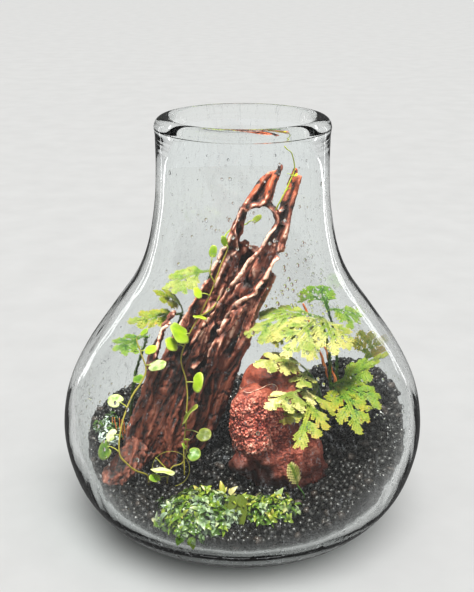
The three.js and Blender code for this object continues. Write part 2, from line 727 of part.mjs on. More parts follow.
function cushionSolid(cushion) {
  const { centre: [x, y], across, deep, count, seed } = cushion;
  const parts = [cushionCore(cushion, 0)];
  const ground = gravelHeight(x, y) + 3;
  const goldenAngle = 2.399963;
  for (let i = 0; i < count; i += 1) {
    const angle = goldenAngle * (i + 1);
    const share = Math.sqrt((i + 0.5) / count);
    const baseX = x + Math.cos(angle) * across * 0.36 * share;
    const baseY = y + Math.sin(angle) * deep * 0.36 * share;
    const heading = angle + scatter(seed + i) - 0.5;
    const length = 0.5 * across + 4 + 3 * scatter(seed + 3 * i);
    const height = 2 + 7 * (1 - share) + 3 * scatter(seed + 5 * i);
    parts.push(fan({
      base: [baseX, baseY, ground],
      tip: [baseX + Math.cos(heading) * length, baseY + Math.sin(heading) * length, ground + height],
      reach: 6,
      pairs: 2,
      half: 2,
      rise: 0.12,
      outline: smallOutline,
    }));
  }
  return joined(parts);
}

// Finishes
const finish = (name, color, roughness, clarity = {}) => new THREE.MeshStandardMaterial({
  name, color, roughness, metalness: 0, ...clarity,
});
const glass = finish('glass', '#dfe8e6', 0.02, { transparent: true, opacity: 0.35 });
const soil = finish('gravel', '#1c1716', 0.45);
const bark = finish('wood', '#6b3a2a', 0.75);
const stone = finish('rock', '#a8432f', 0.9);
const frond = finish('spikemoss', '#9fc23a', 0.55);
const vineLeaf = finish('vine', '#7fc21e', 0.45);
const moss = finish('moss', '#5f8a34', 0.7);
const dry = finish('dry_stalk', '#b0532a', 0.7);

// Assembly
const terrarium = new THREE.Group();
terrarium.name = 'glass_plant_terrarium';

const wood = driftwood(0);
const woodRoom = driftwood(gap);
const rockBody = rock(0).subtract(woodRoom);
const rockRoom = rock(gap);
const clear = (body) => body.subtract(woodRoom).subtract(rockRoom);

terrarium.add(meshOf('glass_jar', jarSolid(), glass));

const sunk = joined([
  ...[...spikemoss, ...vines, ...dryStalks].map((plant) => stalk(plant, gap)),
  ...cushions.map((cushion) => cushionCore(cushion, gap)),
]);
const bed = clear(gravelSolid()).subtract(sunk);
terrarium.add(meshOf('gravel_bed', bed, soil));
terrarium.add(meshOf('driftwood', wood, bark));
terrarium.add(meshOf('red_rock', rockBody, stone));

spikemoss.forEach((plant) => {
  terrarium.add(meshOf(plant.name, clear(spikemossSolid(plant)), frond));
});
vines.forEach((plant) => {
  terrarium.add(meshOf(plant.name, clear(vineSolid(plant)), vineLeaf));
});
const tendril = bar(tendrilPoints, [tendrilRadius, tendrilRadius, 0.5], { sides: 5, steps: 12 });
terrarium.add(meshOf('tendril', clear(tendril), vineLeaf));
dryStalks.forEach((plant) => {
  terrarium.add(meshOf(plant.name, clear(stalk(plant, 0)), dry));
});
cushions.forEach((cushion) => {
  terrarium.add(meshOf(cushion.name, clear(cushionSolid(cushion)), moss));
});

export default terrarium;
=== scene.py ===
# Looks of the glass plant terrarium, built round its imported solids.
# Blender works in metres; the sizes below are in millimetres, in the frame of the solids.
import math

import bmesh
import bpy
import numpy as np
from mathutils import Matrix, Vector, noise
from mathutils.bvhtree import BVHTree
from mathutils.kdtree import KDTree


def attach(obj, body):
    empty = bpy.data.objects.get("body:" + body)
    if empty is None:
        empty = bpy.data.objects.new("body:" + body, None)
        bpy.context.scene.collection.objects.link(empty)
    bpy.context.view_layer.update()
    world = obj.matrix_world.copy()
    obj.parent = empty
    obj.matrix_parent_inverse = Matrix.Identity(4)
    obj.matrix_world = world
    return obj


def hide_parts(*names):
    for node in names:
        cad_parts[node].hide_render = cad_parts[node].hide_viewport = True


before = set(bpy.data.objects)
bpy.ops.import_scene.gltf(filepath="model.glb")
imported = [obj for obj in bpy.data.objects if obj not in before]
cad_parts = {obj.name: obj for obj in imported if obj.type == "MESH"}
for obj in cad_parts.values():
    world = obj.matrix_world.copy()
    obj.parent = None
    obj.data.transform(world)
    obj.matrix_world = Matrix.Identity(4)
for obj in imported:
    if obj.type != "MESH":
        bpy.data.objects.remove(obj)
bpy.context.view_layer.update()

MM = 0.001
UP = np.array([0.0, 0.0, 1.0])
GOLDEN_ANGLE = 2.399963

# Jar: its outer profile runs from the foot to the lip, as radii and heights
BELLY_RADIUS = 115
JAR_HEIGHT = 260
FOOT_RADIUS = 70
NECK_RADIUS = 52.2
LIP_THICKNESS = 12.4
LIP_TURN = 200
WALL_THICKNESS = 5
LOW_WALL_EXTRA = 2.5
LOW_WALL_HEIGHT = 90
FLOOR_THICKNESS = 12
PONTIL_RADIUS = 19
PONTIL_DEPTH = 2
FOOT_ROUNDING = 3
NECK_START = 217
JAR_SIDES = 144
OUTER_KNOTS = [
    (FOOT_RADIUS, 0), (90, 8), (105.5, 26), (113.3, 48), (BELLY_RADIUS, 69), (110.5, 92), (99, 115),
    (82.5, 139), (67, 161), (58.5, 181), (53.6, 207), (NECK_RADIUS, 230), (NECK_RADIUS, 249),
]

# Gravel: height at the front, how much higher its banks are, and from where to where they rise
GRAVEL_FRONT = 35
GRAVEL_BACK_RISE = 10
GRAVEL_RIGHT_BANK = 34
GRAVEL_LEFT_BANK = 10
BACK_RISE_Y = (-45, 65)
RIGHT_BANK_X = (28, 96)
RIGHT_BANK_Y = (-60, 20)
RIGHT_BANK_FRONT = 0.62  # share of the right bank's height that is left at the front
LEFT_BANK_X = (-45, -90)
LEFT_BANK_Y = (-50, 10)
GRAVEL_TOP = 82
GRAIN_RADIUS = 2.6
GRAIN_SPACING = 4.5
ROW_SPACING = 0.87  # of the grains' spacing, as is the next
WALL_LAYER_SPACING = 0.88
GRAIN_SCATTER = 0.6
LOWEST_LAYER = 2.2  # of the grains at the glass, above the jar's floor
GRAIN_SHAPES = 8
BURIED_DEPTH = 1.5
MASS_INSET = 1.2

# Camera fitted to the photograph, with its focal length and image centre in pixels
CAMERA_PLACE = (-3.4, -593, 357.6)
CAMERA_TILT = 19.59
IMAGE_HEIGHT = 592
IMAGE_CENTRE = (237, 296)
FOCAL_PIXELS = 1000
SENSOR = 36

# Studio, in metres; the world is pale where it is seen, soft where it lights, faint in mirrors
FLOOR_RADIUS = 9
PALE_WORLD = 0.68
SOFT_WORLD = 0.28
FAINT_WORLD = 0.12


def ease(value):
    t = np.clip(value, 0, 1)
    return t * t * (3 - 2 * t)


def fade(value, start, end):
    """0 up to the start, 1 from the end on, and eased between them; the end may lie below the start"""
    return ease((value - start) / (end - start))


def unit(vector):
    vector = np.asarray(vector, float)
    return vector / np.maximum(np.linalg.norm(vector, axis=-1, keepdims=True), 1e-9)


def turns(sides):
    """Angles round a full circle"""
    return np.arange(sides) * 2 * math.pi / sides


def around(turn, first, second):
    """Directions at some angles between two directions that stand square to each other"""
    return np.cos(turn)[:, None] * first + np.sin(turn)[:, None] * second


def smooth_line(points, step=2.0):
    """Centripetal curve through the points, with a point about every step"""
    points = np.asarray(points, float)
    padded = np.vstack([2 * points[0] - points[1], points, 2 * points[-1] - points[-2]])
    line = []
    for i in range(len(points) - 1):
        a, b, c, d = padded[i:i + 4]
        before, here, after = (max(np.linalg.norm(q - p) ** 0.5, 1e-4) for p, q in ((a, b), (b, c), (c, d)))
        leave = ((b - a) / before - (c - a) / (before + here) + (c - b) / here) * here
        arrive = ((c - b) / here - (d - b) / (here + after) + (d - c) / after) * here
        count = max(2, round(float(np.linalg.norm(c - b)) / step))
        t = (np.arange(count) / count)[:, None]
        line.append((2 * t**3 - 3 * t**2 + 1) * b + (t**3 - 2 * t**2 + t) * leave
                    + (3 * t**2 - 2 * t**3) * c + (t**3 - t**2) * arrive)
    return np.vstack([*line, points[-1:]])


def gravel_height(x, y):
    """Height of the gravel's surface: low at the front, banked to the back, left and right"""
    back = fade(y, *BACK_RISE_Y)
    right = fade(x, *RIGHT_BANK_X) * (RIGHT_BANK_FRONT + (1 - RIGHT_BANK_FRONT) * fade(y, *RIGHT_BANK_Y))
    left = fade(x, *LEFT_BANK_X) * fade(y, *LEFT_BANK_Y)
    return GRAVEL_FRONT + GRAVEL_BACK_RISE * back + GRAVEL_RIGHT_BANK * right + GRAVEL_LEFT_BANK * left


def spec(*values, **settings):
    """One fan or leaf: what the function that makes it is given"""
    return values, settings


# Meshes

VALUES = ("tone", "pale", "edge", "across", "along", "stem")


class Parts:
    """Points in mm, triangles, and a few named numbers for each point, gathered into one mesh"""

    def __init__(self):
        self.points = []
        self.triangles = []
        self.values = {name: [] for name in VALUES}
        self.count = 0

    def add(self, points, triangles, **values):
        """A value is one number, or one for each point, or one for each of the small shapes in points"""
        points = np.asarray(points, float).reshape(-1, 3)
        self.points.append(points)
        self.triangles.append(triangles + self.count)
        for name in VALUES:
            value = np.ravel(values.get(name, 0.0))
            self.values[name].append(np.repeat(value, len(points) // len(value)))
        self.count += len(points)

    def build(self, name, material, nodes=()):
        mesh = bpy.data.meshes.new(name)
        triangles = np.vstack(self.triangles)
        mesh.from_pydata(np.vstack(self.points) * MM, [], triangles)
        mesh.polygons.foreach_set("use_smooth", np.full(len(triangles), True))
        for value in VALUES:
            numbers = np.concatenate(self.values[value])
            if numbers.any():
                store(mesh, value, numbers)
        piece(name, mesh, material, nodes)


def store(mesh, name, values):
    """A named number or vector for each point of a mesh"""
    kind, field = ("FLOAT_VECTOR", "vector") if np.ndim(values) == 2 else ("FLOAT", "value")
    layer = mesh.attributes.new(name, kind, "POINT")
    layer.data.foreach_set(field, np.asarray(values, np.float32).ravel())


def linked(name, data):
    obj = bpy.data.objects.new(name, data)
    bpy.context.scene.collection.objects.link(obj)
    return obj


def piece(name, mesh, material, nodes=()):
    """A visible piece of the object, which rides on its one body"""
    obj = linked(name, mesh)
    mesh.materials.clear()
    mesh.materials.append(material)
    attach(obj, "root")
    if nodes:
        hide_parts(*nodes)


def grid_faces(numbers, closed=False):
    """Two triangles for each cell of a grid of point numbers; a closed one joins on sideways"""
    if closed:
        numbers = np.hstack([numbers, numbers[:, :1]])
    a, b, c, d = (numbers[rows, columns].ravel() for rows in (slice(-1), slice(1, None))
                  for columns in (slice(-1), slice(1, None)))
    return np.vstack([np.stack([a, b, d], 1), np.stack([a, d, c], 1)])


def cap_faces(middle, ring):
    """Triangles from one point to a closed ring"""
    return np.stack([np.full(len(ring), middle), ring, np.roll(ring, -1)], 1)


def repeated(faces, size, count):
    """Faces of a small shape of some points, for that many copies of it"""
    return (faces + size * np.arange(count)[:, None, None]).reshape(-1, 3)


def lathe(profile, sides, ended=True):
    """A line of radii and heights turned round +Z from a middle point, and to a last one if ended"""
    turn = turns(sides)
    rings = profile[1:-1] if ended else profile[1:]
    points = [[[0, 0, profile[0][1]]]]
    for radius, height in rings:
        points.append(np.stack([radius * np.cos(turn), radius * np.sin(turn), np.full(sides, height)], 1))
    numbers = 1 + np.arange(len(rings) * sides).reshape(-1, sides)
    faces = [cap_faces(0, numbers[0])[:, ::-1], grid_faces(numbers, True)]
    if ended:
        points.append([[0, 0, profile[-1][1]]])
        faces.append(cap_faces(1 + len(rings) * sides, numbers[-1]))
    return np.vstack(points), np.vstack(faces)


def tube(parts, line, radii, sides=8, **values):
    """A round tube along a line of points, with a radius at its start and at its end, or at each point"""
    line = np.asarray(line, float)
    count = len(line)
    radii = np.interp(np.linspace(0, 1, count), np.linspace(0, 1, len(radii)), radii)
    tangents = unit(np.gradient(line, axis=0))
    normal = np.cross(tangents[0], UP if abs(tangents[0][2]) < 0.9 else np.array([1.0, 0, 0]))
    rings = []
    for point, tangent, radius in zip(line, tangents, radii):
        normal = unit(normal - tangent * np.dot(normal, tangent))
        rings.append(point + radius * around(turns(sides), normal, np.cross(tangent, normal)))
    ends = [line[:1] - tangents[:1] * radii[0] * 0.5, line[-1:] + tangents[-1:] * radii[-1] * 0.5]
    numbers = np.arange(count * sides).reshape(count, sides)
    faces = [grid_faces(numbers, True), cap_faces(count * sides, numbers[0])[:, ::-1],
             cap_faces(count * sides + 1, numbers[-1])]
    parts.add(np.vstack(rings + ends), np.vstack(faces), **values)


# Small leaves: a six-sided blade round a raised middle

LEAF_ALONG = np.array([0, 0.3, 0.72, 1, 0.72, 0.3, 0.5])
LEAF_ACROSS = np.array([0, 0.42, 0.4, 0, -0.4, -0.42, 0])
LEAF_RISE = np.array([0, 0, 0, 0, 0, 0, 1.0])
LEAF_TRIANGLES = np.array([[6, (i + 1) % 6, i] for i in range(6)])
LEAF_POINTS = len(LEAF_ALONG)


def add_leaves(parts, points, **values):
    count = len(points)
    parts.add(points, repeated(LEAF_TRIANGLES, LEAF_POINTS, count), edge=np.tile(LEAF_ALONG, count), **values)


# Node-based materials

class Nodes:
    """A tree of shader nodes and short ways to add to it"""

    def __init__(self, tree):
        self.tree = tree

    def node(self, kind, settings=None, **inputs):
        node = self.tree.nodes.new("ShaderNode" + kind)
        for key, value in (settings or {}).items():
            setattr(node, key, value)
        for key, value in inputs.items():
            self.feed(node, key.replace("_", " "), value)
        return node

    def feed(self, node, key, value):
        socket = node.inputs[key]
        if isinstance(value, bpy.types.NodeSocket):
            self.tree.links.new(value, socket)
        else:
            socket.default_value = value

    def blend(self, share, first, second):
        """Two shaders mixed"""
        node = self.node("MixShader")
        for key, value in enumerate((share, first, second)):
            self.feed(node, key, value)
        return node.outputs[0]


class Look(Nodes):
    """A material"""

    def __init__(self, name):
        self.material = bpy.data.materials.new(name)
        self.material.use_nodes = True
        super().__init__(self.material.node_tree)
        self.shader = self.tree.nodes["Principled BSDF"]

    def set(self, **inputs):
        for key, value in inputs.items():
            self.feed(self.shader, key.replace("_", " "), value)
        return self.material

    def surface(self, shader):
        self.feed(self.tree.nodes["Material Output"], "Surface", shader)

    def place(self, stretch=(1, 1, 1)):
        """Places in mm, from the object's own coordinates"""
        return self.stretched(self.node("TexCoord").outputs["Object"], [1000 * s for s in stretch])

    def stretched(self, vector, stretch):
        return self.node("Mapping", Vector=vector, Scale=stretch).outputs["Vector"]

    def attribute(self, name, output="Fac"):
        return self.node("Attribute", {"attribute_name": name}).outputs[output]

    def noise(self, vector, scale, detail=4, roughness=0.55, distortion=0.0):
        return self.node("TexNoise", Vector=vector, Scale=scale, Detail=detail, Roughness=roughness,
                         Distortion=distortion).outputs["Fac"]

    def math(self, operation, a, b=0.0):
        node = self.node("Math", {"operation": operation})
        self.feed(node, 0, a)
        self.feed(node, 1, b)
        return node.outputs[0]

    def add(self, a, b):
        return self.math("ADD", a, b)

    def times(self, a, b):
        return self.math("MULTIPLY", a, b)

    def band(self, value, low, high, to_low=0.0, to_high=1.0):
        """value taken from low..high to to_low..to_high, held at the ends"""
        node = self.node("MapRange", {"interpolation_type": "SMOOTHSTEP"}, Value=value, From_Min=low,
                         From_Max=high, To_Min=to_low, To_Max=to_high)
        return node.outputs["Result"]

    def ramp(self, value, stops):
        node = self.node("ValToRGB", Fac=value)
        elements = node.color_ramp.elements
        while len(elements) < len(stops):
            elements.new(1.0)
        for element, (position, colour) in zip(elements, stops):
            element.position = position
            element.color = (*colour, 1)
        return node.outputs["Color"]

    def tinted(self, colour, *tints):
        """The colour, turned to each tint in turn by the tint's share"""
        for share, tint in tints:
            node = self.node("Mix", {"data_type": "RGBA"})
            for key, value in ((0, share), (6, colour), (7, tint)):
                self.feed(node, key, (*value, 1) if isinstance(value, tuple) else value)
            colour = node.outputs[2]
        return colour

    def bump(self, height, strength, distance):
        return self.node("Bump", Height=height, Strength=strength, Distance=distance * MM).outputs["Normal"]

    def see_through(self, colour):
        """Part of the light goes through the blade, as in a thin leaf"""
        through = self.node("BsdfTranslucent", Color=colour)
        self.surface(self.blend(0.3, self.shader.outputs[0], through.outputs[0]))


def frond_look(name, stops, painted_highlight_colour, roughness):
    """Scale leaves: a green by the tone of the branch, paler at their tips, with a whitish painted highlight
    in patches on the marked leaves
    """
    look = Look(name)
    place = look.place()
    patches = look.noise(place, 0.12, 3)
    fine = look.noise(place, 0.9, 4, 0.65)
    tone = look.add(look.attribute("tone"), look.band(patches, 0.3, 0.7, -0.1, 0.1))
    tone = look.add(tone, look.band(look.attribute("edge"), 0.2, 1, -0.05, 0.1))
    # Painted highlight: a whitish tint in patches, as much as each leaf is marked with it
    highlight_share = look.times(look.attribute("pale"), look.band(patches, 0.38, 0.55, 0.25, 1.0))
    colour = look.tinted(
        look.ramp(tone, stops),
        (look.band(fine, 0.35, 0.75, 0.0, 0.35), (0.02, 0.07, 0.005)),
        (highlight_share, painted_highlight_colour),
        (look.attribute("stem"), (0.12, 0.145, 0.008)),
    )
    look.see_through(colour)
    return look.set(Base_Color=colour, Roughness=look.band(fine, 0.3, 0.7, *roughness),
                    Normal=look.bump(fine, 0.35, 0.25), Sheen_Weight=0.12)


# Where the veins of a round leaf meet, in mm behind its middle
VEIN_START = 1.15


def vine_look():
    """Fresh round leaves with paler veins that spread from the stalk, each leaf lighter at its rim as painted
    highlight, and a whitish painted highlight in patches on the marked leaves
    """
    look = Look("vine_leaf")
    place = look.place()
    angle = look.math("ARCTAN2", look.attribute("across"), look.add(look.attribute("along"), VEIN_START))
    veins = look.band(look.math("ABSOLUTE", look.math("SINE", look.times(angle, 6.5))), 0.0, 0.22, 1.0, 0.0)
    fine = look.noise(place, 1.6, 4, 0.6)
    patches = look.noise(place, 0.16, 2)
    tone = look.add(look.attribute("tone"), look.band(patches, 0.3, 0.7, -0.12, 0.12))
    colour = look.ramp(tone, [(0.0, (0.025, 0.085, 0.007)), (0.35, (0.13, 0.29, 0.01)),
                              (0.65, (0.32, 0.48, 0.012)), (1.0, (0.5, 0.6, 0.03))])
    # Painted highlight: a whitish tint in patches on the marked leaves
    highlight_share = look.times(look.attribute("pale"), look.band(patches, 0.35, 0.55, 0.3, 1.0))
    colour = look.tinted(
        colour,
        (look.times(veins, 0.3), (0.52, 0.6, 0.12)),
        # Painted highlight: lighter towards the leaf's rim
        (look.times(look.attribute("edge"), 0.6), (0.62, 0.7, 0.16)),
        (look.attribute("stem"), (0.4, 0.3, 0.06)),
        (look.band(fine, 0.4, 0.8, 0.0, 0.3), (0.05, 0.16, 0.01)),
        (highlight_share, (0.86, 0.86, 0.55)),
    )
    relief = look.math("SUBTRACT", look.times(fine, 0.4), veins)
    look.see_through(colour)
    return look.set(Base_Color=colour, Roughness=0.36, Normal=look.bump(relief, 0.4, 0.12))


def wood_look():
    """Driftwood: red-brown, near black in its grooves and hollows as painted shade, pale on its ridges as
    painted highlight
    """
    look = Look("driftwood")
    grain = look.attribute("grain", "Vector")
    lines = look.noise(look.stretched(grain, (1.3, 1.3, 0.09)), 1.0, 6, 0.7, 0.5)
    broad = look.noise(look.stretched(grain, (0.2, 0.2, 0.03)), 1.0, 3, 0.5)
    pits = look.noise(look.place(), 0.7, 5, 0.7)
    height = look.add(look.attribute("ridge"), look.band(lines, 0.25, 0.75, -0.18, 0.18))
    height = look.add(height, look.band(broad, 0.3, 0.7, -0.1, 0.1))
    # Painted light: the level runs from painted shade in the grooves, through red-brown, to painted highlight
    # on the ridges
    colour = look.ramp(height, [(0.1, (0.009, 0.004, 0.0035)), (0.34, (0.075, 0.02, 0.012)),
                                (0.6, (0.2, 0.055, 0.033)), (0.84, (0.44, 0.18, 0.12)),
                                (1.0, (0.84, 0.54, 0.43))])
    # Lower down, the raised parts are tinted a duller red-brown, which weakens the painted highlight there
    worn = look.times(look.attribute("low"), look.band(broad, 0.3, 0.6, 0.25, 0.7))
    warm = look.times(look.attribute("tip"), look.band(broad, 0.3, 0.65, 0.15, 0.7))
    colour = look.tinted(
        colour,
        # Painted shade: dark specks in the pits that the bump dents in
        (look.band(pits, 0.54, 0.76, 0.0, 0.75), (0.02, 0.007, 0.005)),
        (look.times(worn, look.band(height, 0.25, 0.5)), (0.15, 0.04, 0.02)),
        (look.times(warm, look.band(height, 0.1, 0.5)), (0.62, 0.13, 0.04)),
    )
    relief = look.add(look.times(lines, 0.8), look.times(pits, -0.6))
    return look.set(Base_Color=colour, Roughness=look.band(lines, 0.3, 0.7, 0.38, 0.72),
                    Normal=look.bump(relief, 0.8, 0.8))


def rock_look():
    """Porous red rock: smooth and orange above, crumbly and pink at its knob with painted highlights on its
    raised grains, painted shade in its cracks, and darker at its foot as painted shade
    """
    look = Look("red_rock")
    place = look.place()
    rough = look.attribute("rough")
    grainy = look.noise(place, 0.7, 6, 0.72)
    crumbs = look.node("TexVoronoi", Vector=place, Scale=0.62, Randomness=1.0).outputs["Distance"]
    crumb = look.times(look.band(crumbs, 0.15, 0.75, 0.26, -0.24), rough)
    level = look.add(look.attribute("ridge"), look.band(grainy, 0.3, 0.7, -0.22, 0.22))
    # Painted light: the colour level is lighter where the rock is raised and darker where it is low, as
    # painted highlight and painted shade
    smooth_colour = look.ramp(level, [(0.1, (0.06, 0.012, 0.007)), (0.35, (0.19, 0.038, 0.02)),
                                      (0.6, (0.34, 0.08, 0.042)), (0.95, (0.55, 0.18, 0.1))])
    broken_colour = look.ramp(look.add(level, crumb), [
        (0.08, (0.2, 0.025, 0.016)), (0.3, (0.54, 0.1, 0.062)), (0.5, (0.82, 0.26, 0.18)),
        (0.86, (0.97, 0.56, 0.45))])
    # Painted shade: the foot darker, less so on the lobe
    low = look.band(look.attribute("height"), 0.16, 0.5, 0.93, 0.0)
    colour = look.tinted(
        smooth_colour,
        (rough, broken_colour),
        (look.times(low, look.band(look.attribute("lobe"), 0.1, 0.7, 1.0, 0.4)), (0.038, 0.008, 0.005)),
        (look.band(look.noise(place, 0.06, 3), 0.48, 0.66, 0.0, 0.3), (0.16, 0.03, 0.018)),
        # Painted shade in the cracks between the grains
        (look.times(look.attribute("crack"), 0.6), (0.035, 0.006, 0.005)),
    )
    relief = look.add(grainy, look.times(crumb, 2.0))
    return look.set(Base_Color=colour, Roughness=look.band(grainy, 0.3, 0.7, 0.38, 0.8),
                    Normal=look.bump(relief, 0.8, 0.8))


def gravel_look():
    """Damp black grains, some of which glint, a few of them browner or greyer"""
    look = Look("gravel")
    place = look.place()
    fine = look.noise(place, 0.45, 3, 0.55)
    colour = look.ramp(look.attribute("tone"), [
        (0.0, (0.002, 0.0017, 0.0017)), (0.6, (0.006, 0.005, 0.0045)), (0.86, (0.014, 0.011, 0.01)),
        (1.0, (0.055, 0.042, 0.036))])
    colour = look.tinted(colour, (look.band(fine, 0.58, 0.8, 0.0, 0.35), (0.02, 0.017, 0.016)))
    dull = look.band(look.noise(place, 0.16, 1), 0.4, 0.6, 0.12, 0.42)
    return look.set(Base_Color=colour, Roughness=look.add(dull, look.band(fine, 0.35, 0.7, 0.0, 0.15)),
                    Specular_IOR_Level=0.42, Normal=look.bump(fine, 0.3, 0.4))


def dry_look():
    look = Look("dry_stalk")
    grain = look.noise(look.place((1, 1, 0.08)), 1.2, 4, 0.6)
    colour = look.ramp(grain, [(0.3, (0.3, 0.06, 0.014)), (0.5, (0.66, 0.19, 0.05)),
                               (0.72, (0.85, 0.42, 0.17))])
    return look.set(Base_Color=colour, Roughness=0.55, Normal=look.bump(grain, 0.5, 0.2))


def root_look():
    look = Look("root_hair")
    shade = look.noise(look.place(), 0.3, 3)
    colour = look.ramp(shade, [(0.35, (0.42, 0.2, 0.13)), (0.65, (0.8, 0.6, 0.5))])
    return look.set(Base_Color=colour, Roughness=0.5)


def clear_look(name, ior, tint, film=None):
    """Clear glass or water: shadows and soft light pass straight through"""
    look = Look(name)
    look.set(Base_Color=(*tint, 1), Transmission_Weight=1.0, IOR=ior, Roughness=0.0)
    surface = look.shader.outputs[0]
    if film:
        surface = film(look, surface)
    light = look.node("LightPath")
    clear = look.node("BsdfTransparent", Color=(*tint, 1)).outputs[0]
    for kind in ("Is Shadow Ray", "Is Diffuse Ray"):
        surface = look.blend(light.outputs[kind], surface, clear)
    look.surface(surface)
    return look.material


def glass_film(look, surface):
    """Waves of blown glass, and a thin film of water marks that runs down the neck"""
    waves = look.noise(look.place((1, 1, 0.35)), 0.035, 2, 0.4)
    look.set(Normal=look.bump(waves, 0.25, 2.0))
    streaks = look.noise(look.place((1, 1, 0.1)), 0.3, 5, 0.65)
    specks = look.noise(look.place(), 0.8, 3, 0.7)
    mask = look.times(look.band(streaks, 0.54, 0.74), look.band(specks, 0.45, 0.62))
    film = look.node("BsdfDiffuse", Color=(0.9, 0.92, 0.95, 1))
    return look.blend(look.times(mask, 0.55), surface, film.outputs[0])


# Each ramp is followed by the tint of its painted highlight, whitish yellow on the spikemoss and bluish white
# on the moss
FROND = frond_look("spikemoss", [
    (0.0, (0.012, 0.045, 0.006)), (0.3, (0.055, 0.17, 0.01)), (0.5, (0.19, 0.34, 0.013)),
    (0.72, (0.3, 0.36, 0.018)), (0.9, (0.43, 0.41, 0.028)), (1.0, (0.58, 0.37, 0.03)),
], (0.92, 0.83, 0.43), (0.34, 0.58))
MOSS = frond_look("moss", [
    (0.0, (0.008, 0.018, 0.004)), (0.3, (0.035, 0.085, 0.008)), (0.55, (0.12, 0.23, 0.014)),
    (0.8, (0.33, 0.4, 0.035)), (1.0, (0.56, 0.46, 0.09)),
], (0.78, 0.87, 0.84), (0.2, 0.42))
VINE = vine_look()
WOOD = wood_look()
ROCK = rock_look()
GRAVEL = gravel_look()
DRY = dry_look()
ROOT = root_look()
GLASS = clear_look("glass", 1.45, (0.965, 0.985, 0.98), glass_film)
WATER = clear_look("water_drop", 1.33, (1.0, 1.0, 1.0))


# Jar

def profile_line(knots, per_span=8):
    """Smooth line through profile points, each a radius and a height"""
    knots = np.asarray(knots, float)
    padded = np.vstack([2 * knots[0] - knots[1], knots, 2 * knots[-1] - knots[-2]])
    rows = []
    for i in range(len(knots) - 1):
        a, b, c, d = padded[i:i + 4]
        t = (np.arange(per_span) / per_span)[:, None]
        rows.append(0.5 * (2 * b + (c - a) * t + (2 * a - 5 * b + 4 * c - d) * t**2
                           + (3 * b - a - 3 * c + d) * t**3))
    return np.vstack([*rows, knots[-1:]])


def inner_knots():
    """Each outer knot moved inwards by the wall's thickness there"""
    knots = []
    for i, (radius, height) in enumerate(OUTER_KNOTS[1:], 1):
        following = OUTER_KNOTS[min(i + 1, len(OUTER_KNOTS) - 1)]
        along = unit(np.subtract(following, OUTER_KNOTS[i - 1]))
        wall = WALL_THICKNESS + LOW_WALL_EXTRA * np.clip(1 - height / LOW_WALL_HEIGHT, 0, 1)
        knots.append((radius - along[1] * wall, max(height + along[0] * wall, FLOOR_THICKNESS + 1)))
    return knots


INNER_LINE = profile_line(inner_knots())


def inner_radius(height):
    return np.interp(height, INNER_LINE[:, 1], INNER_LINE[:, 0])


def make_jar():
    lip_radius = LIP_THICKNESS / 2
    lip_centre = np.array([NECK_RADIUS + 0.6 - lip_radius, JAR_HEIGHT - lip_radius])
    angles = np.radians(np.linspace(0, LIP_TURN, 30))
    lip = lip_centre + lip_radius * np.stack([np.cos(angles), np.sin(angles)], 1)
    outer = profile_line(OUTER_KNOTS)
    outer = outer[(outer[:, 1] > FOOT_ROUNDING) & (outer[:, 1] < lip_centre[1] - 2)]
    passage = [(42.9, 244.5), (45.2, 236), (46.6, 226.5), (47.7, NECK_START)]
    passage = profile_line([lip[-3], lip[-1], *passage])[8:-1]
    inner = np.vstack([passage, INNER_LINE[INNER_LINE[:, 1] < NECK_START][::-1]])
    foot = profile_line([(60, 0), (66, 0), (70, 0.3), (74, 1.3), tuple(outer[0])], 4)[4:-1]
    floor = np.stack([np.linspace(inner[-1][0] - 1.5, 0, 9), np.full(9, FLOOR_THICKNESS)], 1)
    pontil = [(0, PONTIL_DEPTH), (PONTIL_RADIUS * 0.5, PONTIL_DEPTH),
              (PONTIL_RADIUS * 0.75, PONTIL_DEPTH * 0.8), (PONTIL_RADIUS * 0.95, 0.3),
              (PONTIL_RADIUS + 2, 0), (40, 0)]
    parts = Parts()
    parts.add(*lathe(np.vstack([pontil, foot, outer, lip, inner, floor]), JAR_SIDES))
    parts.build("jar", GLASS, ["glass_jar"])


# Clusters of drops: count, angle and its spread in degrees, height and its spread
DROP_CLUSTERS = [
    (260, -48, 15, 156, 20), (170, 205, 13, 88, 16), (70, 150, 14, 80, 18), (90, 35, 22, 150, 20),
    (130, -100, 60, 205, 22), (60, -20, 12, 95, 16),
]
# Drops: lowest and highest place, height of the dome for a radius of 1, smallest radius, how much
# larger the largest is, and gap to the glass
DROP_LEVELS = (52, 240)
DROP_HEIGHT = 0.42
DROP_RADIUS = 0.42
DROP_GROWTH = 0.85
DROP_GAP = 0.06


def make_drops():
    """Condensation on the inside of the glass, mostly at the right shoulder and low on the left"""
    random = np.random.default_rng(5)
    parts = Parts()
    leans = np.arange(4) / 3 * math.pi / 2
    dome, faces = lathe([*zip(np.sin(leans), DROP_HEIGHT * np.cos(leans)), (0, 0)], 8)
    for count, angle, angle_spread, height, height_spread in DROP_CLUSTERS:
        for _ in range(count):
            turn = math.radians(random.normal(angle, angle_spread))
            z = np.clip(random.normal(height, height_spread), *DROP_LEVELS)
            size = DROP_RADIUS + DROP_GROWTH * random.random() ** 2.5
            outwards = np.array([math.cos(turn), math.sin(turn), 0])
            slope = (inner_radius(z + 1) - inner_radius(z - 1)) / 2
            wall_up = unit(outwards * slope + UP)
            inwards = unit(np.cross(np.cross(wall_up, outwards), wall_up)) * -1
            axes = np.array([np.cross(wall_up, inwards), wall_up * 1.15, inwards])
            middle = outwards * (inner_radius(z) - DROP_GAP) + UP * z
            parts.add(middle + dome * size @ axes, faces[:, ::-1])
    parts.build("condensation_drops", WATER)


# Gravel

def mesh_arrays(mesh):
    """Points in mm and normals of a mesh"""
    points, normals = np.zeros((2, len(mesh.vertices) * 3))
    mesh.vertices.foreach_get("co", points)
    mesh.vertices.foreach_get("normal", normals)
    return points.reshape(-1, 3) / MM, normals.reshape(-1, 3)


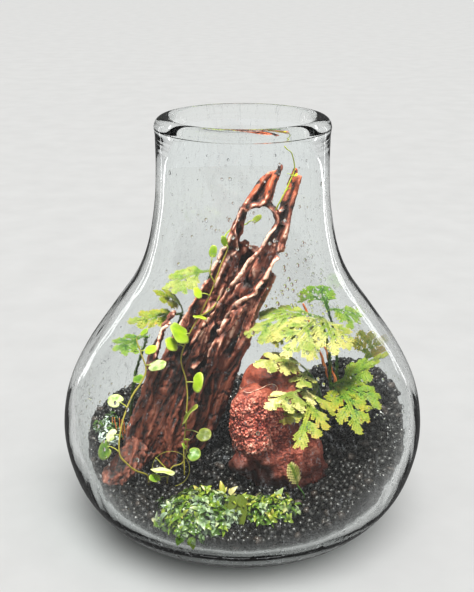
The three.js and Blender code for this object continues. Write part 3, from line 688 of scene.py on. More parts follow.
def surface_tree(mesh, corners=None):
    """A search tree over a mesh's surface, in mm"""
    corners = corners or [v.co / MM for v in mesh.vertices]
    return BVHTree.FromPolygons(corners, [tuple(p.vertices) for p in mesh.polygons])


def buried(tree, point):
    """Whether a point in mm lies well inside a closed surface"""
    place, normal, _, distance = tree.find_nearest(Vector(point))
    return distance > BURIED_DEPTH and (Vector(point) - place).dot(normal) < 0


def grain_shapes():
    """Lumpy pebbles: a subdivided icosahedron pushed in and out"""
    shapes = []
    for number in range(GRAIN_SHAPES):
        ball = bmesh.new()
        bmesh.ops.create_icosphere(ball, subdivisions=2, radius=1)
        ball.verts.index_update()
        points = np.array([v.co for v in ball.verts])
        faces = np.array([[v.index for v in f.verts] for f in ball.faces])
        ball.free()
        swell = [noise.noise(Vector(point * 1.3) + Vector((number * 7.1, 3.3, 0))) for point in points]
        shapes.append((points * (1 + 0.5 * np.array(swell))[:, None], faces))
    return shapes


def add_grain(parts, random, shapes, centre):
    points, faces = shapes[random.integers(len(shapes))]
    turn, _ = np.linalg.qr(random.normal(size=(3, 3)))
    if np.linalg.det(turn) < 0:
        turn[:, 0] *= -1
    size = GRAIN_RADIUS * (0.72 + 0.42 * random.random())
    size = size * np.array([1, 0.92, 0.8 + 0.15 * random.random()])
    parts.add(centre + (points * size) @ turn.T, faces, tone=random.random() ** 2)


def make_gravel():
    random = np.random.default_rng(11)
    shapes = grain_shapes()
    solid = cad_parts["gravel_bed"].data
    bed = surface_tree(solid)
    others = [surface_tree(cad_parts[name].data) for name in ("driftwood", "red_rock")]
    top = Parts()
    rows = int(BELLY_RADIUS / (GRAIN_SPACING * ROW_SPACING))
    for row in range(-rows, rows + 1):
        for column in range(-rows - 4, rows + 5):
            x = (column + 0.5 * (row % 2)) * GRAIN_SPACING + random.normal(0, GRAIN_SCATTER)
            y = row * GRAIN_SPACING * ROW_SPACING + random.normal(0, GRAIN_SCATTER)
            z = gravel_height(x, y)
            hit = bed.ray_cast(Vector((x, y, JAR_HEIGHT)), Vector((0, 0, -1)))[0]
            if hit and hit.z > z - GRAIN_RADIUS * 2:
                z = hit.z
            z += random.normal(-GRAIN_SCATTER, GRAIN_SCATTER)
            outside = math.hypot(x, y) > inner_radius(z) - GRAIN_RADIUS * 1.1
            if not outside and not any(buried(tree, (x, y, z)) for tree in others):
                add_grain(top, random, shapes, np.array([x, y, z]))
    top.build("gravel_grains", GRAVEL, ["gravel_bed"])
    make_wall_grains(random, shapes, bed)
    # The mass of the bed under its visible grains: the solid, drawn in a little
    mass = solid.copy()
    points, normals = mesh_arrays(mass)
    mass.vertices.foreach_set("co", ((points - normals * MASS_INSET) * MM).ravel())
    piece("gravel_mass", mass, GRAVEL)


def make_wall_grains(random, shapes, bed):
    """Grains pressed against the glass, on the lumps of the solid's side"""
    parts = Parts()
    height = FLOOR_THICKNESS + LOWEST_LAYER
    layer = 0
    while height < GRAVEL_TOP:
        count = int(2 * math.pi * inner_radius(height) / (GRAIN_SPACING * 1.02))
        for i in range(count):
            turn = 2 * math.pi * (i + 0.5 * (layer % 2) + random.normal(0, 0.1)) / count
            outwards = np.array([math.cos(turn), math.sin(turn), 0])
            z = height + random.normal(0, 0.4)
            close = inner_radius(z) - GRAIN_RADIUS * (1.08 + 0.15 * random.random())
            hit = bed.ray_cast(Vector(outwards * 1.2 * BELLY_RADIUS + UP * z), Vector(-outwards))[0]
            if hit:
                close = min(close, math.hypot(hit.x, hit.y) - GRAIN_RADIUS * 0.45)
            if z < gravel_height(*(outwards * close)[:2]) + 0.4:
                add_grain(parts, random, shapes, outwards * close + UP * z)
        height += GRAIN_SPACING * WALL_LAYER_SPACING
        layer += 1
    parts.build("gravel_against_glass", GRAVEL)


# Driftwood and rock, carved from their solids

def carved(node, voxel, smoothing):
    """The node's solid with an even fine mesh and its edges rounded"""
    obj = linked(node + "_copy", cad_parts[node].data.copy())
    even = obj.modifiers.new("even", "REMESH")
    even.mode = "VOXEL"
    even.voxel_size = voxel * MM
    rounded = obj.modifiers.new("rounded", "SMOOTH")
    rounded.factor = 0.5
    rounded.iterations = smoothing
    graph = bpy.context.evaluated_depsgraph_get()
    result = bpy.data.meshes.new_from_object(obj.evaluated_get(graph))
    bpy.data.objects.remove(obj)
    drop_crumbs(result)
    return result


def drop_crumbs(mesh):
    """Only the mesh's largest connected part stays"""
    shape = bmesh.new()
    shape.from_mesh(mesh)
    left = set(shape.verts)
    islands = []
    while left:
        island = [left.pop()]
        for vertex in island:
            for edge in vertex.link_edges:
                other = edge.other_vert(vertex)
                if other in left:
                    left.discard(other)
                    island.append(other)
        islands.append(island)
    islands.sort(key=len)
    for island in islands[:-1]:
        bmesh.ops.delete(shape, geom=island, context="VERTS")
    shape.to_mesh(mesh)
    shape.free()


def build_carved(name, mesh, points, material, slot, node, **layers):
    """The carved mesh with its moved points in mm, and its named values"""
    mesh.vertices.foreach_set("co", (points * MM).ravel())
    mesh.polygons.foreach_set("use_smooth", np.full(len(mesh.polygons), True))
    for layer, values in layers.items():
        store(mesh, layer, values)
    mesh.update()
    piece(name, mesh, material, [node])


def noise_at(places, offset=0.0):
    shift = Vector((offset, offset * 1.7, offset * 0.6))
    return np.array([noise.noise(Vector(place) + shift) for place in places])


def ridged(places, offset=0.0):
    """1 on sharp ridges, falling to 0 between them"""
    return 1 - np.clip(np.abs(noise_at(places, offset)) * 2.6, 0, 1)


def sight(pixel):
    """The way from the camera through a pixel of the photograph"""
    right, down = np.subtract(pixel[:2], IMAGE_CENTRE) / FOCAL_PIXELS
    tilt = math.radians(CAMERA_TILT)
    return unit([right, math.cos(tilt) - down * math.sin(tilt), -math.sin(tilt) - down * math.cos(tilt)])


def seen_places(tree, pixels, step=1.0):
    """Places on a surface under a line of pixels: past its edge, the nearest place of the surface"""
    camera = np.array(CAMERA_PLACE, float)
    places = []
    for pixel in smooth_line([(u, v, 0) for u, v in pixels], step):
        way = sight(pixel)
        place = tree.ray_cast(Vector(camera), Vector(way))[0]
        if place is None and places:
            reach = float(np.dot(places[-1] - camera, way))
            place = tree.find_nearest(Vector(camera + way * reach))[0]
        if place is not None:
            places.append(np.array(place))
    return places


def distances(points, places):
    """How far each point is from the nearest of some places"""
    tree = KDTree(len(places))
    for number, place in enumerate(places):
        tree.insert(place, number)
    tree.balance()
    return np.array([tree.find(point)[2] for point in points])


# Ridges of the wood, raised and painted pale as highlights, as lines of pixels of the photograph
WOOD_RIDGES = [
    [(245, 202), (252, 193), (259, 183), (263, 177), (268, 173)],
    [(269, 180), (267, 188), (265, 198), (260, 203), (252, 204), (247, 210), (243, 207), (239, 214),
     (235, 224), (233, 229)],
    [(233, 230), (230, 236), (227, 245), (222, 250), (217, 260), (211, 270)],
    [(235, 229), (236, 237), (238, 247), (235, 252), (229, 256), (225, 262), (220, 275), (215, 286)],
    [(270, 207), (275, 212), (278, 216), (277, 223), (275, 228), (269, 234), (266, 240), (260, 250),
     (252, 258), (247, 263), (243, 271), (235, 280), (228, 289), (220, 304), (212, 314), (200, 331),
     (194, 340), (183, 356)],
    [(282, 209), (276, 212)],
    [(280, 257), (274, 261), (269, 270), (266, 278), (257, 288), (255, 294), (240, 301), (228, 314),
     (222, 327), (212, 339), (202, 359), (193, 368)],
    [(170, 324), (162, 331), (157, 347), (156, 357)],
]
# Ridges with a weaker painted highlight, lower down and between the bright ones
DULL_RIDGES = [
    [(232, 356), (226, 364), (220, 371)],
    [(150, 374), (136, 400), (127, 435), (125, 461)],
    [(208, 276), (200, 292), (190, 308), (180, 326), (170, 346), (160, 366), (150, 388)],
    [(222, 300), (212, 308), (203, 318), (192, 330), (184, 344), (174, 360)],
    [(247, 306), (238, 320), (232, 335), (222, 352), (214, 368), (206, 384), (200, 400)],
    [(172, 372), (162, 392), (154, 412), (148, 436), (144, 456)],
    [(190, 376), (184, 396), (178, 416), (172, 436), (168, 458)],
    [(277, 166), (275, 176), (273, 187), (272, 198)],
    [(293, 170), (289, 184), (285, 198)],
    [(298, 175), (294, 190), (290, 206), (288, 222), (284, 238)],
    [(239, 214), (243, 226), (242, 240), (246, 252)],
]
# Hollows of the wood, dug in and painted dark as shade: pixel, radius and depth in mm
WOOD_HOLLOWS = [
    ((243, 262), 4.2, 4), ((246, 283), 3.6, 3.4), ((214, 335), 3.6, 3.4), ((232, 292), 3, 3),
    ((210, 342), 3.2, 3), ((196, 310), 3, 2.6), ((206, 296), 2.6, 2.4), ((186, 348), 3.2, 2.6),
    ((228, 336), 3, 2.6), ((202, 376), 3.2, 2.6),
]
WOOD_VOXEL = 0.79
RIDGE_HALF = 1.15
RIDGE_HEIGHT = 1.7
RIDGE_REACH = 5.5
TROUGH_PLACE = 3.2
TROUGH_HALF = 1.5
TROUGH_DEPTH = 1.9
KNOT_DEPTH = 0.9
STRAND_HEIGHT = 1.9
SPLIT_HEIGHT = 1.0
PRONG_SWELL = 0.9
PRONG_REACH = 8
# Where a change of the wood sets in and where it is complete: heights, and X for the left branch
FINER_PRONGS_Z = (178, 206)
LEFT_BRANCH_X = (-45, -55)
LEFT_BRANCH_Z = (92, 104)
LOW_WOOD_Z = (118, 92)
NARROW_RIDGES_Z = (170, 196)
PALER_ABOVE_Z = (106, 130)
PALER_BELOW_Z = (192, 176)
HOLE_BOTTOM_Z = (160, 168)
HOLE_TOP_Z = (204, 196)
PRONG_SWELL_Z = (196, 208)
PRONG_REACH_Z = (204, 226)
PRONG_TIP_Z = (204, 222)
WOOD_FOOT = (-62, 5, 24)
WOOD_LEAN = 0.45  # how far the wood's axis moves to +X for each mm of height
WOOD_AXIS = unit(np.array([WOOD_LEAN, 0, 1]))


def make_driftwood():
    mesh = carved("driftwood", WOOD_VOXEL, 3)
    points, normals = mesh_arrays(mesh)
    x, y, z = points.T
    foot_x, foot_y, foot_z = WOOD_FOOT
    width = 28 - 0.08 * (z - foot_z)
    grain = np.stack([
        (x - foot_x - WOOD_LEAN * (z - foot_z)) / width * 20,
        (y - foot_y) / width * 20,
        points @ WOOD_AXIS,
    ], 1)
    wavy = grain.copy()
    for axis, offset in enumerate((3.1, 9.4)):
        wavy[:, axis] += 6.5 * noise_at(grain * [0.07, 0.07, 0.034], offset)
    thick = 1 - 0.68 * fade(z, *FINER_PRONGS_Z)
    thick *= 1 - 0.6 * fade(x + 0.2 * (z - 95), *LEFT_BRANCH_X) * fade(z, *LEFT_BRANCH_Z)
    low = fade(z, *LOW_WOOD_Z)
    strands = ridged(wavy * [0.2, 0.2, 0.012], 1.0) ** 1.2
    splits = ridged(wavy * [0.42, 0.42, 0.024], 5.0) ** 1.3
    fibres = noise_at(wavy * [0.95, 0.95, 0.07], 2.0)
    pits = noise_at(points * 0.45, 4.0)
    surface = surface_tree(mesh, points.tolist())
    push = 0.4 * fibres + 0.3 * pits
    # relief sets the colour level: painted highlight where the wood is raised, on ridges and strands, and
    # painted shade where it is sunk, in troughs, hollows and knots
    relief = 0.17 * fibres
    spare = 1.0
    uneven = (0.9 + 0.9 * noise_at(points * 0.13, 8.0)) * (1 - 0.35 * fade(z, *NARROW_RIDGES_Z))
    bitten = fade(noise_at(points * 0.3, 12.0), 0.2, 0.45)
    for lines, strength in ((WOOD_RIDGES, 1.0), (DULL_RIDGES, 0.45)):
        away = distances(points, [place for line in lines for place in seen_places(surface, line)])
        away += 0.5 * fibres
        ridge = strength * np.exp(-(away / (RIDGE_HALF * uneven)) ** 2) * (1 - 0.6 * bitten)
        trough = strength * np.exp(-((away - TROUGH_PLACE) / TROUGH_HALF) ** 2)
        near = strength * np.exp(-(away / RIDGE_REACH) ** 2)
        push += RIDGE_HEIGHT * ridge - TROUGH_DEPTH * trough
        relief += 0.45 * near + 0.55 * ridge - 0.45 * trough
        spare = spare * (1 - 0.8 * near)
    rough = STRAND_HEIGHT * (strands - 0.35) + SPLIT_HEIGHT * (splits - 0.4)
    push += rough * spare * (1 - 0.45 * low)
    relief += (0.14 + 0.5 * strands + 0.28 * splits) * spare
    for pixel, radius, depth in WOOD_HOLLOWS:
        centre = seen_places(surface, [pixel, pixel])[0]
        dip = np.exp(-np.sum((points - centre) ** 2, axis=1) / radius**2)
        push -= depth * dip
        relief -= 0.8 * dip
    knots = fade(pits, 0.22, 0.47)
    push -= KNOT_DEPTH * knots
    relief -= 0.35 * knots + 0.2 * bitten
    # Painted highlight over the upper middle of the wood
    relief += 0.22 * fade(z, *PALER_ABOVE_Z) * fade(z, *PALER_BELOW_Z)
    facing_up = fade(normals @ WOOD_AXIS, 0.25, 0.65)
    hole_floor = facing_up * fade(z, *HOLE_BOTTOM_Z) * fade(z, *HOLE_TOP_Z)
    push *= 1 - 0.9 * hole_floor
    push = push * thick - 0.3 + PRONG_SWELL * fade(z, *PRONG_SWELL_Z)
    points += normals * push[:, None]
    points += WOOD_AXIS * (PRONG_REACH * fade(points[:, 2], *PRONG_REACH_Z))[:, None]
    build_carved("driftwood_carved", mesh, points, WOOD, "driftwood", "driftwood", grain=grain,
                 ridge=np.clip(relief, 0, 1), low=low, tip=fade(points[:, 2], *PRONG_TIP_Z))


def granules(places, offset=0.0):
    """Rounded grains with cracks between them: height of the grain, and 1 in a crack"""
    shift = Vector((offset, 0, 0))
    near, second = np.array([noise.voronoi(Vector(place) + shift)[0][:2] for place in places]).T
    return 1 - near, 1 - np.minimum((second - near) / 0.28, 1)


# Rock: height of its foot and its own height, and middle and half size of its crumbly knob and of
# its right lobe
ROCK_VOXEL = 0.65
ROCK_FOOT = 38
ROCK_RISE = 60
KNOB = ([6, -47, 76], [18, 26, 16])
LOBE = ([41, -42, 53], [17, 22, 16])


def make_rock():
    mesh = carved("red_rock", ROCK_VOXEL, 12)
    points, normals = mesh_arrays(mesh)
    to_knob, to_lobe = (np.linalg.norm((points - middle) / half, axis=1) for middle, half in (KNOB, LOBE))
    knob = ease(2.1 - 1.3 * to_knob)
    lobe = ease(1.8 - to_lobe)
    rough = np.clip(knob + 0.35 * lobe, 0, 1)
    swell = noise_at(points * 0.055, 6.0)
    lumps = noise_at(points * 0.15, 1.0)
    warped = points + 1.4 * np.stack([noise_at(points * 0.35, k) for k in (2.0, 7.0, 12.0)], 1)
    coarse, cracks = granules(warped * 0.42, 4.0)
    fine, fine_cracks = granules(warped * 0.85, 9.0)
    grit = noise_at(points * 0.9, 3.0)
    push = 2.4 * swell + 1.3 * lumps
    push += rough * (1.5 * (coarse - 0.55) - 0.6 * cracks + 0.8 * (fine - 0.55) - 0.3 * fine_cracks)
    push += (1 - rough) * (0.12 * (fine - 0.55) + 1.0 * lumps) + (0.1 + 0.2 * rough) * grit
    points += normals * (push - 0.4)[:, None]
    detail = 0.5 * (coarse - 0.5) + 0.35 * (fine - 0.5) + 0.22 * grit
    # relief sets the colour level: raised grains and lumps lighter as painted highlight, low places darker as
    # painted shade
    relief = 0.36 + detail * (0.2 + 0.8 * rough) + 0.3 * lumps + 0.2 * swell
    build_carved("rock_carved", mesh, points, ROCK, "rock", "red_rock", ridge=np.clip(relief, 0, 1),
                 crack=np.clip(cracks + 0.4 * fine_cracks, 0, 1) * rough, rough=rough, lobe=lobe,
                 height=np.clip((points[:, 2] - ROCK_FOOT) / ROCK_RISE, 0, 1))


# Spikemoss: a fan is an arched sheet of scaly straps, spread from the joint of a stem to a tip

STRAP_HALF = 2.9
STRAP_LEAN = math.radians(50)
STRAP_SPAN = 0.62
FIRST_STRAP = 0.16
STRAP_SHARE = 0.46
STEM_TONE = 0.32
# Scale leaves: spacing, how far the outer ones turn out and how much less at the branchlet's tip, turn
# and length of the inner ones, widths of inner and outer ones, and how far all are tipped up
SCALE_SPACING = 1.25
SCALE_TURN = math.radians(62)
SCALE_TURN_LOSS = math.radians(34)
INNER_SCALE_TURN = 0.3
INNER_SCALE_LENGTH = 1.7
SCALE_WIDTHS = (1.0, 1.75)
SCALE_TILT = 0.32
# Lobes at a strap's end: place along it, turn and length
LOBES = ((0.3, 0.78, 0.42), (0.52, 0.62, 0.42), (0.7, 0.4, 0.4), (0.76, 0.0, 0.32))


class Sheet:
    """The arched sheet of a fan: x across and y along the flat fan give a place in the jar"""

    def __init__(self, base, tip, rise, turn=0.0):
        start, end = np.array(base, float), np.array(tip, float)
        self.length = float(np.linalg.norm(end - start))
        forward = (end - start) / self.length
        up = unit(np.array([0, -0.35, 1.0]))
        up = unit(up - forward * np.dot(up, forward))
        lean = math.radians(turn)
        self.up = up * math.cos(lean) + np.cross(forward, up) * math.sin(lean)
        middle = (start + end) / 2 + self.up * 2 * rise * self.length
        t = np.linspace(0, 1, 65)[:, None]
        self.curve = (1 - t) ** 2 * start + 2 * t * (1 - t) * middle + t**2 * end
        steps = np.linalg.norm(np.diff(self.curve, axis=0), axis=1)
        self.share = np.concatenate([[0], np.cumsum(steps)]) / steps.sum()
        self.slope = unit(np.gradient(self.curve, axis=0))

    def place(self, x, y, lift):
        t = y / self.length
        held = np.clip(t, 0, 1)
        point, along = (np.stack([np.interp(held, self.share, line[:, i]) for i in range(3)], -1)
                        for line in (self.curve, self.slope))
        along = unit(along)
        side = unit(np.cross(along, self.up))
        normal = np.cross(side, along)
        point += along * ((t - held) * self.length)[..., None] + side * x[..., None]
        return point + normal * (lift - 0.02 * x * x)[..., None]


def feather(parts, sheet, random, start, heading, length, half, lift, tone, pale):
    """One branchlet: a narrow blade with two rows of scale leaves on each side"""
    count = max(3, round(length / SCALE_SPACING))
    t = (np.arange(count) + 0.5) / count
    way = np.array([math.sin(heading), math.cos(heading)])
    sideways = np.array([way[1], -way[0]])
    spread = half * (0.72 + 0.28 * fade(t, 0, 0.4)) * np.sqrt(np.clip(1.1 - fade(t, 0.75, 1.05), 0.2, 1))
    middle = np.array(start) + np.outer(t * length, way)
    edge = sideways * 0.5 * spread[:, None]
    edges = np.stack([middle - edge, middle + edge], 1)
    shades = tone[0] + (tone[1] - tone[0]) * t
    parts.add(sheet.place(edges[..., 0], edges[..., 1], lift - 0.25),
              grid_faces(np.arange(2 * count).reshape(count, 2).T), tone=shades - 0.2, pale=0.4 * pale)
    for side in (-1, 1):
        for outer in (True, False):
            angle = heading + side * (SCALE_TURN - SCALE_TURN_LOSS * t**2 if outer else INNER_SCALE_TURN)
            angle = angle + random.normal(0, 0.09, count)
            size = np.full(count, INNER_SCALE_LENGTH)
            if outer:
                size = spread * (1.16 + random.normal(0, 0.08, count))
            direction = np.stack([np.sin(angle), np.cos(angle)], 1)
            crosswise = np.stack([direction[:, 1], -direction[:, 0]], 1)
            base = (middle + side * sideways * (0.1 if outer else 0.35))[:, None]
            along = LEAF_ALONG * size[:, None]
            across = LEAF_ACROSS * SCALE_WIDTHS[outer]
            flat = along[..., None] * direction[:, None] + across[:, None] * crosswise[:, None]
            droop = random.normal(0.1, 0.1, count)[:, None] * LEAF_ALONG**2 * size[:, None]
            # Each leaf is tipped up along the branchlet, so that it overlaps the next as a tile does
            rise = LEAF_RISE * 0.3 + (0.0 if outer else 0.35) - droop
            rise = rise + SCALE_TILT * np.sum(flat * way, axis=2)
            flat += base
            shade = shades + random.normal(0, 0.05, count) + (0.0 if outer else 0.06)
            add_leaves(parts, sheet.place(flat[..., 0], flat[..., 1], lift + rise), tone=shade, pale=pale)


def lobed_strap(parts, sheet, random, start, heading, length, half, lift, tone, pale):
    """A branchlet that splits into a few blunt lobes at its end"""
    feather(parts, sheet, random, start, heading, length * 0.8, half * 0.8, lift, tone, pale)
    way = np.array([math.sin(heading), math.cos(heading)])
    tips = (tone[1] - 0.04, tone[1] + 0.08)
    for share, turn, reach in LOBES:
        for side in (1, -1) if turn else (1,):
            origin = np.array(start) + way * length * (share + 0.04 * random.normal())
            towards = heading + side * turn + 0.1 * random.normal()
            feather(parts, sheet, random, origin, towards, length * reach * (0.9 + 0.25 * random.random()),
                    half * 0.42, lift + 0.15 * side, tips, pale)


def add_fan(parts, random, stem, tip, reach, tone, pale=0.0, pairs=3, half=STRAP_HALF, rise=0.16, turn=0.0,
            joint=-1):
    sheet = Sheet(stem[joint], tip, rise, turn)
    length = sheet.length
    half = min(half, STRAP_SHARE * STRAP_SPAN * length / pairs * math.sin(STRAP_LEAN))
    feather(parts, sheet, random, (0, 0), 0.0, length * 0.86, half * 0.6, 0.3, tone, 0.5 * pale)
    for number in range(2 * pairs):
        share = (number + 0.5) / (2 * pairs)
        start = length * (FIRST_STRAP + STRAP_SPAN * share)
        strap = reach * (0.72 + 0.5 * math.sin(math.pi * (0.15 + 0.8 * share)))
        side = -1 if number % 2 else 1
        heading = side * (STRAP_LEAN + 0.06 * random.normal())
        lobed_strap(parts, sheet, random, (side * half * 0.2, start), heading, strap * 1.18, half, 0.0, tone,
                    pale * (0.5 + 0.5 * random.random()))
    lobed_strap(parts, sheet, random, (0, length * 0.76), 0.0, length * 0.28, half, 0.1, tone, pale)


def rooted_line(root, stem, step=1.5):
    """A stem's line from under the gravel"""
    ground = gravel_height(*root)
    return smooth_line([[*root, ground - 4], [*root, ground + 4], *stem], step)


def scaly_stem(parts, random, line, radius):
    """A stem clothed in small scale leaves that point up along it"""
    tube(parts, line, [radius * 0.75, radius * 0.6], 8, tone=STEM_TONE)
    count = 3 * len(line)
    along = np.repeat(unit(np.gradient(line, axis=0)), 3, axis=0)
    turn = random.random(count) * 2 * math.pi
    first = unit(np.cross(along, [0.3, 1, 0.2]))
    outwards = around(turn, first, np.cross(along, first))
    way = unit(along * 0.75 + outwards * 0.65)
    origin = np.repeat(line, 3, axis=0) + outwards * radius * 0.5
    origin += along * random.random(count)[:, None] * 1.2
    length = (1.9 + 0.7 * random.random(count))[:, None]
    across = unit(np.cross(outwards, way))
    normal = unit(np.cross(way, across))
    lift = (LEAF_RISE * 0.12 - LEAF_ALONG**2 * 0.3) * length
    points = (origin[:, None] + (LEAF_ALONG * length)[..., None] * way[:, None]
              + (LEAF_ACROSS * 1.1)[:, None] * across[:, None] + lift[..., None] * normal[:, None])
    add_leaves(parts, points, tone=STEM_TONE + 0.12 + random.normal(0, 0.04, count))


# Plants: name, root, stem, radius, and fans with their tip, reach, tone and painted highlight
SPIKEMOSS = [
    ("spikemoss_over_rock", (60, 14), [(57, 12, 100), (51, 8, 128)], 1.3, [
        spec((5, -6, 124), 13, (0.38, 0.62), 0.2, half=3.6),
        spec((27, -27, 119), 13, (0.42, 0.68), 0.55, half=3.5, turn=-8),
        spec((56, -25, 119), 11, (0.5, 0.7), 0.4, half=3.3)]),
    ("spikemoss_hub", (52, 0), [(51, -3, 70), (48, -7, 88), (41, -9, 98)], 1.4, [
        spec((10, -28, 111), 8, (0.42, 0.72), 0.55, half=2.6),
        spec((35, -33, 99), 6, (0.45, 0.62), 0.5, pairs=2, half=2.4, rise=0.05),
        spec((16, -48, 93), 11, (0.45, 0.66), 1.0, half=3.5, rise=0.05, turn=4, joint=-2),
        spec((34, -60, 75), 11, (0.45, 0.74), 0.15, half=3.5, rise=0.1, joint=-2)]),
    ("spikemoss_right", (66, 4), [(65, 2, 74), (59, -5, 87)], 1.3, [
        spec((82, -4, 101), 8, (0.42, 0.52), rise=0.02),
        spec((83, -28, 84), 7, (0.34, 0.58)),
        spec((70, -45, 76), 9, (0.32, 0.72), half=3.2)]),
    ("spikemoss_sprig", (84, 10), [(83, 8, 84), (80, 5, 98)], 1.1, [
        spec((83, 4, 119), 8, (0.58, 0.8), pairs=2, rise=0.02, turn=30),
        spec((91, -4, 107), 4, (0.45, 0.62), pairs=2, half=2.2, rise=0.02)]),
    ("spikemoss_back", (66, 36), [(64, 34, 100), (58, 28, 127)], 1.2, [
        spec((77, 19, 123), 8, (0.32, 0.5), pairs=2, half=2.6),
        spec((48, 44, 137), 10, (0.25, 0.42), pairs=2)]),
    ("spikemoss_left", (-48, 46), [(-34, 38, 110), (-20, 22, 156)], 1.3, [
        spec((-48, 12, 149), 9, (0.36, 0.55), 0.25, rise=0.1)]),
    ("spikemoss_back_left", (-60, 38), [(-52, 34, 90), (-40, 26, 124)], 1.2, [
        spec((-55, 16, 143), 7, (0.48, 0.72), pairs=2),
        spec((-72, 18, 123), 7, (0.46, 0.7), rise=0.06)]),
    ("spikemoss_far_left", (-76, 22), [(-70, 18, 90), (-62, 10, 115)], 1.1, [
        spec((-80, -4, 112), 7, (0.28, 0.45), pairs=2, rise=0.06)]),
]


def make_spikemoss():
    for number, (name, root, stem, radius, fans) in enumerate(SPIKEMOSS):
        random = np.random.default_rng(100 + number)
        parts = Parts()
        scaly_stem(parts, random, rooted_line(root, stem), radius)
        for values, settings in fans:
            add_fan(parts, random, stem, *values, **settings)
        parts.build(name + "_leafy", FROND, [name])


def make_fern():
    """Small striped fern leaf at the foot of the rock"""
    random = np.random.default_rng(7)
    parts = Parts()
    tube(parts, rooted_line((37, -62), [(36, -62, 42), (33, -61, 46)]), [0.6, 0.45], 6, tone=0.25)
    sheet = Sheet((33, -61, 46), (28, -60, 60), 0.05)
    feather(parts, sheet, random, (0, 0), 0.0, sheet.length, 0.8, 0.1, (0.5, 0.6), 0.1)
    for share in (np.arange(7) + 0.5) / 7:
        for side in (-1, 1):
            length = 4.9 * math.sin(math.pi * (0.2 + 0.72 * share))
            feather(parts, sheet, random, (0, sheet.length * (0.08 + 0.86 * share)), side * 1.0, length, 0.45,
                    0.0, (0.66, 0.86), 0.6)
    parts.build("fern_leaflet_fine", FROND, ["fern_leaflet"])


# Creeping vines

LEAF_FACE = (0, -0.6, 0.8)
LEAF_STAND_OFF = 4
LEAF_THICKNESS = 0.36
LEAF_CUP = 0.14
LEAF_NOTCH = 0.34
PETIOLE = 0.45

# Vines: name, radius, root, stem, side shoots, and leaves with their place, size and width
VINES = [
    ("vine_over_wood", 0.8, (-37, -34),
     [(-37, -29, 56), (-35, -25, 74), (-35, -20, 96), (-38, -18, 112), (-33, -15, 126), (-25, -13, 141),
      (-19, -11, 154), (-13, -8, 170), (-9, -6, 180)],
     [[(-27, -14, 137), (-18, -15, 144), (-14, -13, 151)],
      [(-17, -11, 159), (-20, -12, 166), (-19, -11, 172)]],
     [spec((-18, -10, 179), 4.2, 0.6, tone=0.6),
      spec((-11, -8, 185), 4.2, 0.56, tone=0.42),
      spec((-27, -15, 154), 3.5, 1.2, tone=0.72),
      spec((-26, -17, 138), 4.4, tone=0.8),
      spec((-38, -19, 129), 7.4, 1.05, tone=0.62),
      spec((-43, -20, 122), 5, tone=0.7),
      spec((-28, -24, 98), 4.4, 1.5, tone=0.72, face=(0.45, -0.75, 0.45)),
      spec((-34, -30, 79), 5.4, 1.5, tone=0.1, worn=0.3, face=(-0.2, -0.85, 0.5)),
      spec((-24, -32, 66), 4.8, tone=0.0, worn=0.25)]),
    ("vine_left", 0.9, (-59, -40),
     [(-66, -46, 47), (-75, -47, 59), (-74, -38, 75), (-69, -28, 88), (-60, -19, 104), (-63, -16, 114),
      (-66, -13, 123)],
     [[(-75, -46, 60), (-81, -42, 62)], [(-71, -31, 84), (-74, -28, 85)]],
     [spec((-61, -13, 127), 3.4, 0.6, tone=0.6),
      spec((-57, -17, 117), 4.2, 0.75, tone=0.85),
      spec((-53, -21, 108), 6.8, 0.6, tone=0.4, pale=0.6),
      spec((-65, -19, 98), 4.2, 0.8, tone=0.2),
      spec((-79, -25, 86), 5.6, 0.85, tone=0.45, pale=0.6),
      spec((-86, -38, 57), 8.6, 0.7, tone=0.3, face=(-0.3, -0.7, 0.6)),
      spec((-81, -38, 68), 3.6, 1.3, tone=0.4, pale=0.9)]),
    ("runner_front", 0.8, (-47, -42),
     [(-44, -40, 46), (-38, -40, 49), (-35, -39, 56), (-34, -39, 65)],
     [[(-46, -41, 43), (-54, -38, 52)]],
     [spec((-49, -45, 47), 5, 1.5, tone=0.8, pale=0.95, face=(0.1, -0.4, 0.9)),
      spec((-54, -46, 42), 4, 0.7, tone=0.5),
      spec((-36, -40, 61), 2.2, tone=0.6),
      spec((-34, -40, 65), 2, tone=0.9),
      spec((-30, -40, 56), 4, 1.2, tone=0.25)]),
]


def vine_tube(parts, line, radii, sides=8, **values):
    tube(parts, line, radii, sides, along=-VEIN_START, **values)


